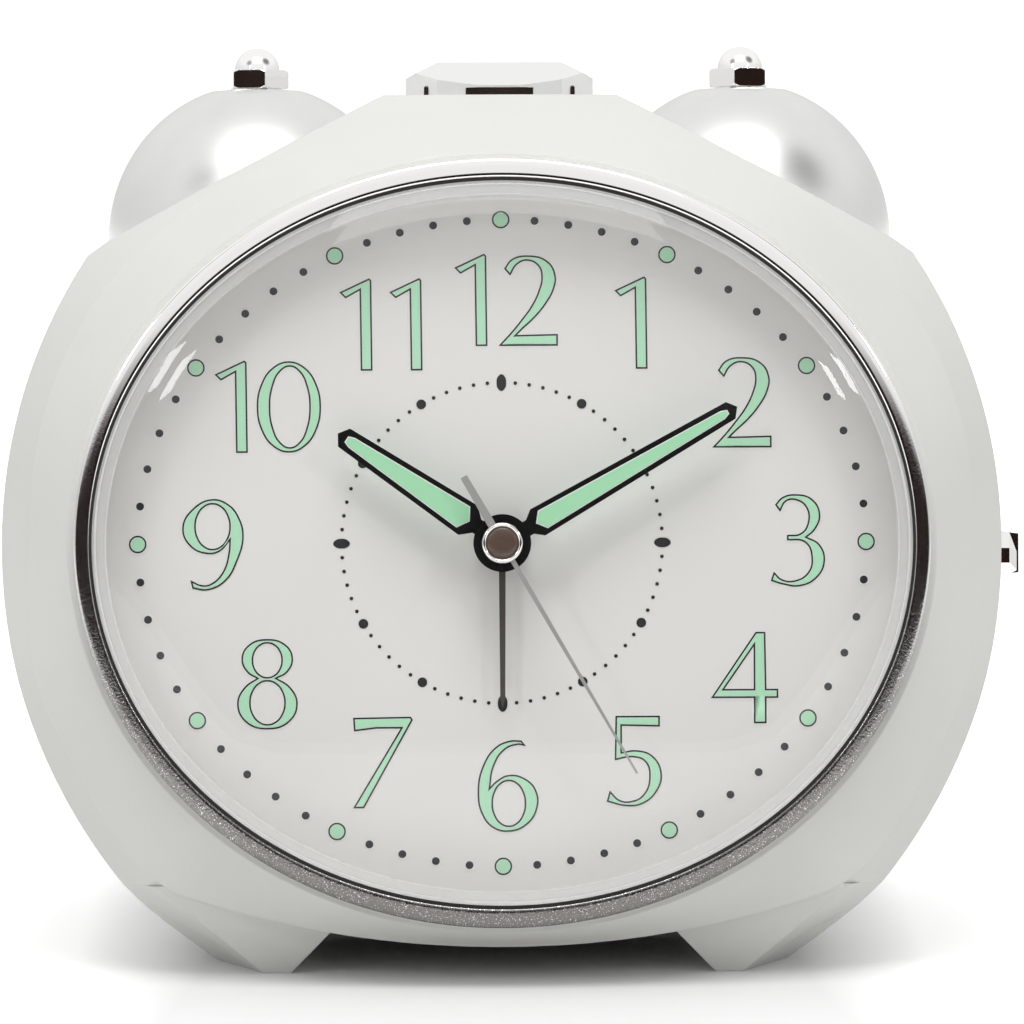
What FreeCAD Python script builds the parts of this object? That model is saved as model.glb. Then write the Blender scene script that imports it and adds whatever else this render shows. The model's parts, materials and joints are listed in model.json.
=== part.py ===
import FreeCAD, Part
import math
import os

# A twin-bell quartz alarm clock, in millimetres.
# Everything is laid out square to the dial: X to the right, Y back from the dial's front face,
# Z up the dial, zero on the hands' axis. The clock leans back by `tilt`, so save() turns each
# finished piece into the standing frame, where Z = 0 is the surface under the feet.

tilt = 6.0
dial_height = 52.31
foot_middle_y = 23.5

# Case
case_half_width = 60.3
side_radius = 64.1
side_centre_z = -0.24
shoulder_z = 35.5
corner_cut = 2.4
plateau_half = 14.1
plateau_z = 54.1
belly_z = -48.5
belly_radius = 122.0
wall = 2.0
split_y = 9.5
back_y = 43.0
rear_insets = ((split_y, 0.0), (22.0, 0.8), (37.0, 3.5), (back_y, 6.0))
ring_front_y = -5.4
ring_inner = (51.9, 46.6)
crease = (56.7, 49.4)
crease_lift = 1.2
crease_power = 2.2
crease_low = ((56.8, -8.6), (55.7, -17.3), (53.1, -23.6), (50.3, -29.0), (47.2, -34.1), (44.6, -37.7),
              (42.4, -39.9), (39.4, -41.6), (36.5, -42.66), (28.5, -44.87), (15.0, -47.33), (0.0, -48.25))
cone_growth = 6.5
well_half = (50.8, 45.2)
web_y = (0.6, 2.2)

# Feet: the corners of the left foot's facets
foot_apex = (-41.7, 0.0, -41.0)
foot_inner_top = (-20.8, 0.0, -46.8)
foot_inner_sole = (-25.7, 7.0, -51.9)
foot_outer_sole = (-28.9, 7.0, -51.9)
foot_side_top_y = 6.3
foot_side_sole = (-39.3, 34.0)
foot_inner_x = -15.0
foot_back_y = 40.0
haunch_top_z = -35.0
rail_y = (34.0, 40.0)

# Dial, bezel and lens
dial_half = (50.4, 44.8)
dial_thick = 0.5
bezel_outer = (51.1, 45.9)
bezel_inner = (49.0, 43.3)
bezel_crest_y = -8.6
lens_half = (50.0, 44.3)
lens_thick = 1.5
lens_front_y = -11.6
lens_edge_y = -8.4
lens_shoulder = (0.85, 1.2)

# Bells
bell_x = 29.8
bell_y = 29.0
bell_radius = 18.45
bell_equator_z = 37.4
bell_rise = 19.4
bell_wall = 1.0
bell_rim_z = 36.4
bell_top_z = 55.8
shelf_z = 34.4
bell_gap = 1.2
post_radius = 3.0
stud_radius = 1.95
washer_radius = 3.3
washer_thick = 0.3
nut_base_z = bell_top_z + washer_thick
nut_turns = (45.0, 18.5)
nut_flats = 7.0
nut_hex_height = 2.3
nut_chamfer = 0.3
nut_dome_radius = 2.78

# Snooze button
button_half = 11.4
button_y = (12.5, 33.5)
button_front = ((2.4, 0.0), (4.4, 0.45), (7.6, 1.35), (11.4, 3.6))
button_top_z = 58.7
button_skirt_z = 50.2
button_front_z = 55.65
button_side_z = 56.6
button_slope = 0.55
button_wall = 1.5
button_ceiling_z = 54.8
button_window = (4.15, 0.3, 55.4)
button_slot = (8.9, 0.28, 55.4)
button_slot_back = 15.7
button_fit = 0.25
button_travel = 2.0
stem_radius = 2.0
stem_end_z = 41.6
clip_z = (42.9, 43.7)
bridge_z = (44.0, 45.6)

# Hands, seen from the front: degrees clockwise from twelve
hour_angle = 303.9
minute_angle = 60.1
second_angle = 149.9
alarm_angle = 180.0
hour_length = 23.6
minute_length = 32.4
second_length = 31.8
second_tail = 9.15
alarm_length = 19.8
hub_radius = 3.45
shoulder_at = 4.9
alarm_hand_y = -2.6
hour_hand_y = -4.6
minute_hand_y = -6.0
second_hand_y = -7.4
hand_thick = 0.4
lume_proud = 0.1

# Shafts on the hands' axis
fit = 0.05
second_shaft = 0.5
minute_tube = 1.0
hour_tube = 1.5
alarm_tube = 2.05
bush_radius = 2.9
pivot_radius = 0.3

# Gears: teeth and module
going_module = 0.25
rotor_teeth = 10
middle_wheel_teeth = 50
middle_pinion_teeth = 10
second_wheel_teeth = 60
second_pinion_teeth = 8
third_wheel_teeth = 60
third_pinion_teeth = 8
centre_wheel_teeth = 64
cannon_teeth = 12
motion_wheel_teeth = 36
motion_module = 0.4
motion_pinion_teeth = 10
hour_wheel_teeth = 40
alarm_module = 0.32
alarm_wheel_teeth = 48
alarm_pinion_teeth = 16

# Directions of the off-centre arbors from the hands' axis, in degrees from +X towards +Z
motion_direction = 135.0
alarm_set_direction = 45.0
third_direction = 250.0
middle_direction = 340.0
rotor_direction = 300.0

# Movement box
movement_x = 26.0
movement_z = (-25.0, 16.5)
movement_y = (1.1, 18.0)
movement_wall = 1.2
ear_z = (9.0, -15.0)
ear_x = 29.5

# Setting arbors and knobs
knob_radius = 5.6
knob_y = (43.8, 49.0)
arbor_radius = 0.9

# Battery bay: two cells, one above the other
cell_radius = 7.1
cell_length = 49.2
cell_y = 34.0
cell_z = (-13.4, -28.0)
bay_half = 29.0
bay_z = (-35.6, -5.8)
bay_y = 26.4
door_half = 31.0
door_z = (-37.0, -3.6)
door_corner = 5.0
door_y = (41.4, 43.0)

# Alarm switch on the right side
switch_y = 15.5
switch_y_half = 3.4
switch_z = (-4.1, 1.2)
switch_travel = 3.5

# Striker between the bells
hammer_pivot_z = 22.0
hammer_head_z = (39.5, 42.5)
hammer_head_half = 10.1
hammer_y = (27.5, 30.5)
magnet_z = 16.0
bracket_y = (22.2, 23.6)
bracket_places = ((-13.0, 26.0), (13.0, 26.0))

# Case screws
screw_places = ((44.0, 14.0), (37.0, -27.0))
screw_seat_y = 18.0
screw_shank = 1.25
screw_head = (2.7, 1.8)

os.makedirs("parts", exist_ok=True)


def vec(x, y, z):
    return FreeCAD.Vector(x, y, z)


def tan_deg(angle):
    return math.tan(math.radians(angle))


def polar(radius, angle):
    """The (x, z) point at an angle in degrees counted from +X towards +Z."""
    turn = math.radians(angle)
    return radius * math.cos(turn), radius * math.sin(turn)


def floor_z(y):
    """Height of the surface that the clock stands on, in the dial's frame, at the depth y."""
    return y * tan_deg(tilt) - dial_height / math.cos(math.radians(tilt))


sole_y = foot_middle_y * math.cos(math.radians(tilt)) + floor_z(foot_middle_y) * math.sin(math.radians(tilt))
standing = FreeCAD.Placement(vec(0, -sole_y, dial_height), FreeCAD.Rotation(vec(1, 0, 0), -tilt))


def save(name, shapes):
    """Writes one node: a single solid, or a group of separate ones."""
    solids = []
    for shape in shapes if isinstance(shapes, list) else [shapes]:
        placed = shape.copy()
        placed.Placement = standing.multiply(placed.Placement)
        solids += placed.Solids
    whole = solids[0] if len(solids) == 1 else Part.makeCompound(solids)
    whole.exportStep("parts/" + name + ".step")
    size = whole.BoundBox
    print(name, len(solids), "valid" if whole.isValid() else "INVALID",
          round(size.XLength, 1), round(size.YLength, 1), round(size.ZLength, 1))


def rod(x, z, radius, y0, y1):
    """A round bar along Y."""
    return Part.makeCylinder(radius, y1 - y0, vec(x, y0, z), vec(0, 1, 0))


def tube(x, z, outer, inner, y0, y1):
    return rod(x, z, outer, y0, y1).cut(rod(x, z, inner, y0 - 1, y1 + 1))


def post(x, y, radius, z0, z1):
    """A round bar along Z."""
    return Part.makeCylinder(radius, z1 - z0, vec(x, y, z0))


def box(x0, x1, y0, y1, z0, z1):
    return Part.makeBox(x1 - x0, y1 - y0, z1 - z0, vec(x0, y0, z0))


def prism(points, y0, y1):
    """A flat piece with straight edges, from (x, z) points."""
    corners = [vec(x, y0, z) for x, z in points]
    return Part.Face(Part.makePolygon(corners + corners[:1])).extrude(vec(0, y1 - y0, 0))


def mirrored(shape):
    return shape.mirror(vec(0, 0, 0), vec(1, 0, 0))


def both_sides(shape):
    return [shape, mirrored(shape)]


def fused(shapes):
    return shapes[0].multiFuse(shapes[1:]).removeSplitter()


def cut_beyond(shape, point, normal):
    """Removes what lies on the side of a plane that its normal points to."""
    block = Part.makeBox(300, 300, 300, vec(-150, -150, 0))
    block.Placement = FreeCAD.Placement(vec(*point), FreeCAD.Rotation(vec(0, 0, 1), vec(*normal)))
    return shape.cut(block)


def cut_beyond_three(shape, a, b, c, outside):
    """The same, with the plane through three points and a point on the side that goes."""
    a, b, c, outside = vec(*a), vec(*b), vec(*c), vec(*outside)
    normal = (b - a).cross(c - a)
    if normal.dot(outside - a) < 0:
        normal = normal * -1
    return cut_beyond(shape, tuple(a), tuple(normal))


def oval_wire(half_x, half_z, y, lift=0.0):
    curve = Part.Ellipse(vec(half_x, y, lift), vec(0, y, lift + half_z), vec(0, y, lift))
    return Part.Wire(curve.toShape())


def oval_block(sections):
    """A solid through ellipses, each given as half width, half height and depth."""
    return Part.makeLoft([oval_wire(*section) for section in sections], True, True)


def crease_wire(y, grow):
    """The soft edge round the front ring: a squarish oval above, and below it a curve that runs down
    to the feet and along the belly. It grows outwards from the dial's middle."""
    count = 12
    quarter = []
    for step in range(count + 1):
        turn = math.pi / 2 * (1 - step / count)
        power = 2 / crease_power
        quarter.append((crease[0] * math.cos(turn) ** power, crease[1] * math.sin(turn) ** power))
    quarter += [(x, z - crease_lift) for x, z in crease_low]
    loop = quarter + [(-x, z) for x, z in quarter[-2:0:-1]]
    points = [vec(x * (1 + grow / crease[0]), y, crease_lift + z * (1 + grow / crease[1])) for x, z in loop]
    curve = Part.BSplineCurve()
    curve.interpolate(points, PeriodicFlag=True)
    return Part.Wire(curve.toShape())


def outline_wire(y, inset):
    """The clock's outline seen from the front, drawn in by an inset: round sides, a straight shoulder
    each side of a flat top, and a shallow belly."""
    radius = side_radius - inset
    centre_x = case_half_width - side_radius
    shoulder_x = centre_x + math.sqrt(side_radius ** 2 - (shoulder_z - side_centre_z) ** 2)
    along = vec(shoulder_x - plateau_half, 0, shoulder_z - plateau_z).normalize()
    out = vec(-along.z, 0, along.x)
    start = vec(plateau_half, 0, plateau_z) - out * inset
    top = start + along * ((plateau_z - inset - start.z) / along.z)
    to_start = start - vec(centre_x, 0, side_centre_z)
    middle = to_start.dot(along)
    reach = -middle + math.sqrt(middle ** 2 - to_start.dot(to_start) + radius ** 2)
    shoulder = start + along * (reach - corner_cut)
    cut_angle = math.degrees(math.atan2(shoulder.z - side_centre_z, shoulder.x - centre_x))
    side_x, side_z = polar(radius, cut_angle - 2.6)
    side_top = vec(centre_x + side_x, 0, side_centre_z + side_z)
    belly_r = belly_radius - inset
    belly_centre = belly_z + belly_radius
    low_x = case_half_width - 20.0
    for _ in range(40):
        low_z = belly_centre - math.sqrt(belly_r ** 2 - low_x ** 2)
        low_x = centre_x + math.sqrt(radius ** 2 - (low_z - side_centre_z) ** 2)
    low = vec(low_x, 0, low_z)
    apex = vec(centre_x + radius, 0, side_centre_z)
    belly = vec(0, 0, belly_centre - belly_r)

    def left(point):
        return vec(-point.x, 0, point.z)

    edges = [
        Part.Arc(left(low), belly, low).toShape(),
        Part.Arc(low, apex, side_top).toShape(),
        Part.LineSegment(side_top, shoulder).toShape(),
        Part.LineSegment(shoulder, top).toShape(),
        Part.LineSegment(top, left(top)).toShape(),
        Part.LineSegment(left(top), left(shoulder)).toShape(),
        Part.LineSegment(left(shoulder), left(side_top)).toShape(),
        Part.Arc(left(side_top), left(apex), left(low)).toShape(),
    ]
    wire = Part.Wire(edges)
    wire.translate(vec(0, y, 0))
    return wire


def outline_block(sections):
    """A solid through outlines, each given as depth and inset."""
    return Part.makeLoft([outline_wire(*section) for section in sections], True, True)


def crease_cone(inset):
    """The form that widens from the soft edge back to the parting line, drawn in by an inset."""
    return Part.makeLoft([crease_wire(0, -inset), crease_wire(split_y, cone_growth - inset)], True, True)


def front_body(inset, y0):
    """The front half's outer form from y0 back to the parting line, drawn in by an inset."""
    straight = Part.Face(outline_wire(y0, inset)).extrude(vec(0, split_y - y0, 0))
    return crease_cone(inset).common(straight)


def front_ring():
    """The pearl ring round the bezel, sloping back from the bezel to the soft edge."""
    return Part.makeLoft([oval_wire(*ring_inner, ring_front_y), crease_wire(0, 0)], True, True)


def left_side_barrel():
    """The round form that the left side's outline follows from front to back."""
    x = side_radius - case_half_width
    parts = [rod(x, side_centre_z, side_radius, -1, split_y)]
    for (y0, inset0), (y1, inset1) in zip(rear_insets, rear_insets[1:]):
        parts.append(Part.makeCone(side_radius - inset0, side_radius - inset1, y1 - y0,
                                   vec(x, y0, side_centre_z), vec(0, 1, 0)))
    return parts[0].multiFuse(parts[1:])


def left_haunch():
    """The side of the case carried down to the foot, past the end of the belly's curve."""
    block = box(-52, foot_apex[0] + 4, 0, foot_back_y, foot_apex[2], haunch_top_z).common(left_side_barrel())
    front = block.common(box(-80, 0, 0, split_y, -60, 0)).common(crease_cone(0))
    return front.fuse(block.common(box(-80, 0, split_y, back_y, -60, 0)))


def cone_x(y, z):
    """How far left the cone behind the soft edge reaches at a depth and a height."""
    across = Part.makeLine(vec(-75, y, z), vec(-20, y, z))
    return across.common(crease_cone(0)).BoundBox.XMin


def left_foot():
    """A faceted foot: a twisted side facet that starts on the cone behind the soft edge, a front facet
    that leans back, and an upright inner side."""
    top_z, sole_z = foot_apex[2], foot_outer_sole[2]
    steps = 4
    top, sole = [], []
    for step in range(steps + 1):
        part = step / steps
        y = foot_side_top_y * part
        top.append((foot_apex[0] if step == 0 else cone_x(y, top_z), y))
        sole.append(tuple(foot_outer_sole[i] + (foot_side_sole[i] - foot_outer_sole[i]) * part for i in (0, 1)))
    top += [(top[-1][0], foot_back_y), (foot_inner_x, foot_back_y), (foot_inner_x, 0)]
    sole += [(foot_side_sole[0], foot_back_y), (foot_inner_x, foot_back_y), (foot_inner_x, foot_outer_sole[1])]
    rings = []
    for points, z in ((top, top_z), (sole, sole_z)):
        corners = [vec(x, y, z) for x, y in points]
        rings.append(Part.makePolygon(corners + corners[:1]))
    foot = Part.makeLoft(rings, True, True).common(left_side_barrel())
    foot = cut_beyond_three(foot, foot_apex, foot_inner_top, foot_outer_sole, (-30, -30, -60))
    behind = (foot_inner_sole[0], foot_inner_sole[1] + 10, foot_inner_sole[2])
    level_top = (foot_inner_top[0], foot_inner_sole[1], foot_inner_top[2])
    foot = cut_beyond_three(foot, foot_inner_sole, behind, level_top, (0, 0, -60))
    return foot.fuse(left_haunch()).removeSplitter()


def stand_on_floor(shape):
    lean = math.radians(tilt)
    return cut_beyond(shape, (0, 0, floor_z(0)), (0, math.sin(lean), -math.cos(lean)))


def rear_form(inset, y0, y1):
    """The rear half's outer form between two depths, drawn in by an inset, with the shelves under
    the bells and the spine between them."""
    block = outline_block([(y, drawn + inset) for y, drawn in rear_insets])
    block = block.common(box(-80, 80, y0, y1, -60, 60))
    spine = plateau_half - inset
    for side in (-1, 1):
        x0, x1 = sorted((side * spine, side * 80))
        block = block.cut(box(x0, x1, split_y, back_y + 1, shelf_z - inset, 60))
    for room in bell_room(bell_gap + inset):
        block = block.cut(room)
    return block


def front_case():
    feet = [foot.common(box(-80, 80, 0, split_y, -60, 0)) for foot in both_sides(left_foot())]
    outside = fused([front_ring(), front_body(0, 0)] + feet)
    hollow = front_body(wall, web_y[1])
    body = stand_on_floor(outside).cut(hollow)
    well = oval_block([(*well_half, ring_front_y - 1), (*well_half, web_y[0])])
    window = box(-movement_x - 0.5, movement_x + 0.5, web_y[0] - 1, web_y[1] + 1,
                 movement_z[0] - 0.5, movement_z[1] + 0.5)
    body = body.cut(well).cut(window)
    bosses = []
    for x, z in screw_places:
        for side in (-x, x):
            bosses.append(tube(side, z, 3.4, screw_shank + fit, web_y[1], split_y - 0.1))
    for z in ear_z:
        for side in (-ear_x, ear_x):
            bosses.append(tube(side, z, 2.4, 0.95, web_y[1], 5.0))
    return fused([body] + bosses)


def rear_case():
    hollow = rear_form(wall, split_y - 1, back_y - wall)
    shell = rear_form(0, split_y, back_y).cut(hollow)
    feet = [foot.common(box(-80, 80, split_y, back_y, -60, 0)) for foot in both_sides(left_foot())]
    rail = cut_beyond(box(-30, 30, *rail_y, -56, -42), (0, rail_y[1], -46), (0, 1, -0.35))
    added = [stand_on_floor(piece).cut(hollow) for piece in feet + [rail]]
    tub = box(-bay_half - 1.6, bay_half + 1.6, bay_y - 1.6, back_y - 0.5, bay_z[0] - 1.6, bay_z[1] + 1.6)
    added.append(tub)
    for x, z in screw_places:
        for side in (-x, x):
            added.append(rod(side, z, 4.6, screw_seat_y - 1.8, back_y - 1.0))
            added.append(rod(side, z, 3.4, split_y, screw_seat_y))
    added.append(box(-12.5, 12.5, button_y[0] - 1.5, button_y[1] + 1.5, bridge_z[0], bridge_z[1])
                 .cut(box(-4, 4, hammer_y[0] - 1.5, 40, 40, 50)))
    for x, z in bracket_places:
        added.append(rod(x, z, 2.6, bracket_y[1], back_y - 1.0))
    body = fused([shell] + added)
    for x, z in bracket_places:
        body = body.cut(rod(x, z, 0.95, bracket_y[1] - 1, bracket_y[1] + 4))
    body = body.cut(box(-bay_half, bay_half, bay_y, back_y + 1, bay_z[0], bay_z[1]))
    body = body.cut(door_plate(0.3, door_y[0], back_y + 1))
    for x, z in screw_places:
        for side in (-x, x):
            body = body.cut(rod(side, z, screw_head[0] + 0.4, screw_seat_y, back_y + 1))
            body = body.cut(rod(side, z, screw_shank + 0.25, split_y - 1, screw_seat_y + 1))
    for x, z in (motion_place, alarm_set_place):
        body = body.cut(rod(x, z, arbor_radius + 0.6, back_y - 4, back_y + 1))
    body = body.cut(button_plan(button_fit, button_skirt_z - button_travel - 0.3, plateau_z + 4))
    body = body.cut(post(0, sum(button_y) / 2, stem_radius + fit, bridge_z[0] - 1, bridge_z[1] + 1))
    body = body.cut(box(-14, 14, hammer_y[0] - 1.2, hammer_y[1] + 1.2, hammer_head_z[0] - 1.5,
                        hammer_head_z[1] + 1.2))
    slot_low = switch_z[0] + 0.9
    body = body.cut(box(55, 64, switch_y - 1.7, switch_y + 1.7, slot_low, slot_low + 3.5 + switch_travel))
    for room in bell_room(bell_gap):
        body = body.cut(room)
    for side in (-bell_x, bell_x):
        body = body.cut(post(side, bell_y, stud_radius + fit, shelf_z - 4, shelf_z + 1))
    return body


def button_plan(grow, z0, z1):
    """The snooze button's outline seen from above, grown by a clearance, between two heights."""
    half = 1 + grow / button_half
    quarter = [(x * half, button_y[0] + y - grow) for x, y in button_front]
    middle = sum(button_y)
    front = [(-x, y) for x, y in reversed(quarter)] + quarter
    corners = [vec(x, y, z0) for x, y in front + [(x, middle - y) for x, y in reversed(front)]]
    return Part.Face(Part.makePolygon(corners + corners[:1])).extrude(vec(0, 0, z1 - z0))


def snooze_button():
    cap = button_plan(0, button_skirt_z, button_top_z)
    middle = sum(button_y) / 2
    for y, lean in ((button_y[0], -button_slope), (button_y[1], button_slope)):
        cap = cut_beyond(cap, (0, y, button_front_z), (0, lean, 1))
    for side in (-1, 1):
        cap = cut_beyond(cap, (side * button_half, middle, button_side_z), (side * button_slope, 0, 1))
    cap = cap.cut(button_plan(-button_wall, button_skirt_z - 1, button_ceiling_z))
    half, depth, top = button_window
    cap = cap.cut(box(-half, half, button_y[0] - 1, button_y[0] + depth, button_skirt_z - 1, top))
    at, half, top = button_slot
    for side in (-at, at):
        slot = box(side - half, side + half, button_y[0], button_slot_back, button_skirt_z - 1, top)
        cap = cap.cut(slot).cut(rod(side, top, half, button_y[0], button_slot_back))
    stem = post(0, middle, stem_radius, stem_end_z, button_front_z)
    return cap.fuse(stem).removeSplitter()


def snooze_clip():
    """The clip on the stem that keeps the button in, under the bridge."""
    y = sum(button_y) / 2
    return post(0, y, 3.4, *clip_z).cut(post(0, y, stem_radius, 40, 50))


def bezel_ring():
    crest = (bezel_outer[0] - 0.9, bezel_outer[1] - 1.1)
    outer = oval_block([(*bezel_outer, ring_front_y - 0.1), (*bezel_outer, -6.4), (*crest, bezel_crest_y),
                        (bezel_inner[0] + 0.4, bezel_inner[1] + 0.4, bezel_crest_y)])
    sleeve = oval_block([(well_half[0] - 0.05, well_half[1] - 0.05, -6.4),
                         (well_half[0] - 0.05, well_half[1] - 0.05, -4.0)])
    lip = oval_block([(*bezel_inner, bezel_crest_y - 1), (*bezel_inner, -4)])
    seat_half = (lens_half[0] + 0.05, lens_half[1] + 0.05)
    seat = oval_block([(*seat_half, -7.4), (*seat_half, -3)])
    return outer.fuse(sleeve).removeSplitter().cut(lip).cut(seat)


def crown_block(half, y_edge, y_front, y_back):
    """A lens crown on an oval base: nearly flat, with a rounder shoulder down to its edge and an upright
    wall behind that. It is turned as a round crown and then pressed to the oval's proportions."""
    radius = half[0]
    shoulder_x = lens_shoulder[0] * radius
    shoulder_y = y_front + lens_shoulder[1]
    slope = math.atan(2 * lens_shoulder[1] / shoulder_x)
    lean = 2 * math.atan((y_edge - shoulder_y) / (radius - shoulder_x)) - slope
    bend = (radius - shoulder_x) / (math.sin(lean) - math.sin(slope))
    halfway = (slope + lean) / 2
    on_bend = vec(shoulder_x + bend * (math.sin(halfway) - math.sin(slope)),
                  shoulder_y + bend * (math.cos(slope) - math.cos(halfway)), 0)
    on_crown = vec(shoulder_x / 2, y_front + lens_shoulder[1] / 4, 0)
    top, shoulder, edge = vec(0, y_front, 0), vec(shoulder_x, shoulder_y, 0), vec(radius, y_edge, 0)
    back, middle = vec(radius, y_back, 0), vec(0, y_back, 0)
    wire = Part.Wire([
        Part.Arc(top, on_crown, shoulder).toShape(),
        Part.Arc(shoulder, on_bend, edge).toShape(),
        Part.LineSegment(edge, back).toShape(),
        Part.LineSegment(back, middle).toShape(),
        Part.LineSegment(middle, top).toShape(),
    ])
    squash = FreeCAD.Matrix()
    squash.scale(1, 1, half[1] / half[0])
    return Part.Face(wire).revolve(vec(0, 0, 0), vec(0, 1, 0), 360).transformGeometry(squash)


def lens():
    reach = (bezel_inner[0] - 0.15, bezel_inner[1] - 0.15)
    rim = oval_block([(*lens_half, -7.3), (*lens_half, -7.3 + 1.2)])
    crown = crown_block(reach, lens_edge_y, lens_front_y, -7.2)
    room = (reach[0] - lens_thick, reach[1] - lens_thick)
    hollow = crown_block(room, lens_edge_y + lens_thick, lens_front_y + lens_thick, -5.0)
    return rim.fuse(crown).removeSplitter().cut(hollow)


def dial():
    sheet = oval_block([(*dial_half, 0), (*dial_half, dial_thick)])
    return sheet.cut(rod(0, 0, bush_radius + 0.1, -1, 2))


def bell_form(radius, rise, low):
    """A solid bell shape on the Z axis: upright below its widest line, half an ellipse above it."""
    middle = vec(0, 0, bell_equator_z)
    curve = Part.Ellipse(middle + vec(0, 0, rise), middle + vec(radius, 0, 0), middle)
    quarter = Part.ArcOfEllipse(curve, -math.pi / 2, 0)
    ends = sorted((quarter.StartPoint, quarter.EndPoint), key=lambda point: abs(point.x))
    top, side = ends
    wire = Part.Wire([
        Part.LineSegment(vec(0, 0, low), vec(side.x, 0, low)).toShape(),
        Part.LineSegment(vec(side.x, 0, low), side).toShape(),
        quarter.toShape(),
        Part.LineSegment(top, vec(0, 0, low)).toShape(),
    ])
    return Part.Face(wire).revolve(vec(0, 0, 0), vec(0, 0, 1), 360)


def bell_room(gap):
    """The space that each bell needs, with a gap all round it."""
    room = bell_form(bell_radius + gap, bell_rise + gap, shelf_z - (gap - bell_gap))
    room.translate(vec(bell_x, bell_y, 0))
    return both_sides(room)


def bell(side):
    """A turned shell with a flat on top for its nut, and a hole for its stud."""
    inner = bell_form(bell_radius - bell_wall, bell_rise - bell_wall, bell_rim_z - 1)
    shell = bell_form(bell_radius, bell_rise, bell_rim_z).cut(inner)
    shell = shell.cut(post(0, 0, 15, bell_top_z, bell_top_z + 5))
    shell = shell.cut(post(0, 0, stud_radius + fit, 40, 70))
    shell.translate(vec(side * bell_x, bell_y, 0))
    return shell


def bell_post():
    """The post under a bell: a foot screwed to the shelf, a shoulder inside the bell, a thread above."""
    shoulder = bell_top_z - bell_wall - 0.25
    foot = post(0, 0, stud_radius, shelf_z - wall - 2.4, shelf_z)
    body = post(0, 0, post_radius, shelf_z, shoulder)
    thread = post(0, 0, stud_radius, shoulder, nut_base_z + nut_hex_height)
    anchor = post(0, 0, post_radius, shelf_z - wall - 2.4, shelf_z - wall)
    return fused([foot, body, thread, anchor])


def bell_washer():
    return post(0, 0, washer_radius, bell_top_z, nut_base_z).cut(post(0, 0, stud_radius + fit, 40, 70))


def bell_nut(turn):
    """A dome nut: a hexagon with its corners turned off, and a round cap."""
    corner = nut_flats / 2 / math.cos(math.radians(30))
    corners = [vec(*polar(corner, 60 * step + turn), nut_base_z) for step in range(7)]
    hexagon = Part.Face(Part.makePolygon(corners)).extrude(vec(0, 0, nut_hex_height))
    dome_z = nut_base_z + nut_hex_height
    face = corner - nut_chamfer
    turned = Part.makeCone(face, face + 3.0, 3.0, vec(0, 0, nut_base_z))
    topped = Part.makeCone(face + 3.0, face, 3.0, vec(0, 0, dome_z - 3.0))
    hexagon = hexagon.common(turned).common(topped)
    ball = Part.makeSphere(nut_dome_radius, vec(0, 0, dome_z))
    dome = ball.common(post(0, 0, 5, dome_z - 0.2, dome_z + 5))
    thread = post(0, 0, stud_radius + fit, nut_base_z - 1, dome_z + 0.2)
    return hexagon.fuse(dome).removeSplitter().cut(thread)


def at_bells(shape):
    pair = []
    for side in (-bell_x, bell_x):
        piece = shape.copy()
        piece.translate(vec(side, bell_y, 0))
        pair.append(piece)
    return pair


def bell_nuts():
    pair = []
    for side, turn in zip((-bell_x, bell_x), nut_turns):
        nut = bell_nut(turn)
        nut.translate(vec(side, bell_y, 0))
        pair.append(nut)
    return pair


def gear(place, teeth, module, y0, y1, tooth_at, bore=0.0):
    """A spur gear whose teeth are plain tapers, with one tooth centred on the angle tooth_at."""
    pitch = 360.0 / teeth
    root = module * teeth / 2 - 1.2 * module
    tip = module * teeth / 2 + 0.85 * module
    points = []
    for tooth in range(teeth):
        middle = tooth_at + tooth * pitch
        for radius, part_way in ((root, -0.25), (tip, -0.1), (tip, 0.1), (root, 0.25)):
            x, z = polar(radius, middle + part_way * pitch)
            points.append((place[0] + x, place[1] + z))
    blank = prism(points, y0, y1)
    return blank.cut(rod(*place, bore, y0 - 1, y1 + 1)) if bore else blank


def step_from(place, distance, direction):
    x, z = polar(distance, direction)
    return place[0] + x, place[1] + z


def spacing(module, teeth_a, teeth_b):
    return module * (teeth_a + teeth_b) / 2


def facing_gap(direction, teeth):
    """Where a driven gear has a tooth, so that a gap meets the tooth of the gear it runs on."""
    return direction + 180 + 180.0 / teeth


centre = (0.0, 0.0)
motion_spacing = spacing(motion_module, cannon_teeth, motion_wheel_teeth)
hour_module = 2 * motion_spacing / (motion_pinion_teeth + hour_wheel_teeth)
third_spacing = spacing(going_module, second_pinion_teeth, third_wheel_teeth)
centre_module = 2 * third_spacing / (third_pinion_teeth + centre_wheel_teeth)
motion_place = step_from(centre, motion_spacing, motion_direction)
alarm_set_place = step_from(centre, spacing(alarm_module, alarm_wheel_teeth, alarm_pinion_teeth),
                            alarm_set_direction)
third_place = step_from(centre, third_spacing, third_direction)
middle_spacing = spacing(going_module, middle_pinion_teeth, second_wheel_teeth)
middle_place = step_from(centre, middle_spacing, middle_direction)
rotor_spacing = spacing(going_module, rotor_teeth, middle_wheel_teeth)
rotor_place = step_from(middle_place, rotor_spacing, rotor_direction)


def alarm_wheel():
    wheel = gear(centre, alarm_wheel_teeth, alarm_module, 3.0, 4.0, alarm_set_direction, hour_tube + fit)
    return wheel.fuse(tube(0, 0, alarm_tube, hour_tube + fit, alarm_hand_y - 0.2, 3.0)).removeSplitter()


def hour_wheel():
    wheel = gear(centre, hour_wheel_teeth, hour_module, 4.6, 5.6, motion_direction, minute_tube + fit)
    return wheel.fuse(tube(0, 0, hour_tube, minute_tube + fit, hour_hand_y - 0.2, 4.6)).removeSplitter()


def minute_arbor():
    pinion = gear(centre, cannon_teeth, motion_module, 6.1, 7.4, motion_direction, second_shaft + fit)
    return pinion.fuse(tube(0, 0, minute_tube, second_shaft + fit, minute_hand_y - 0.2, 9.6)).removeSplitter()


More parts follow.
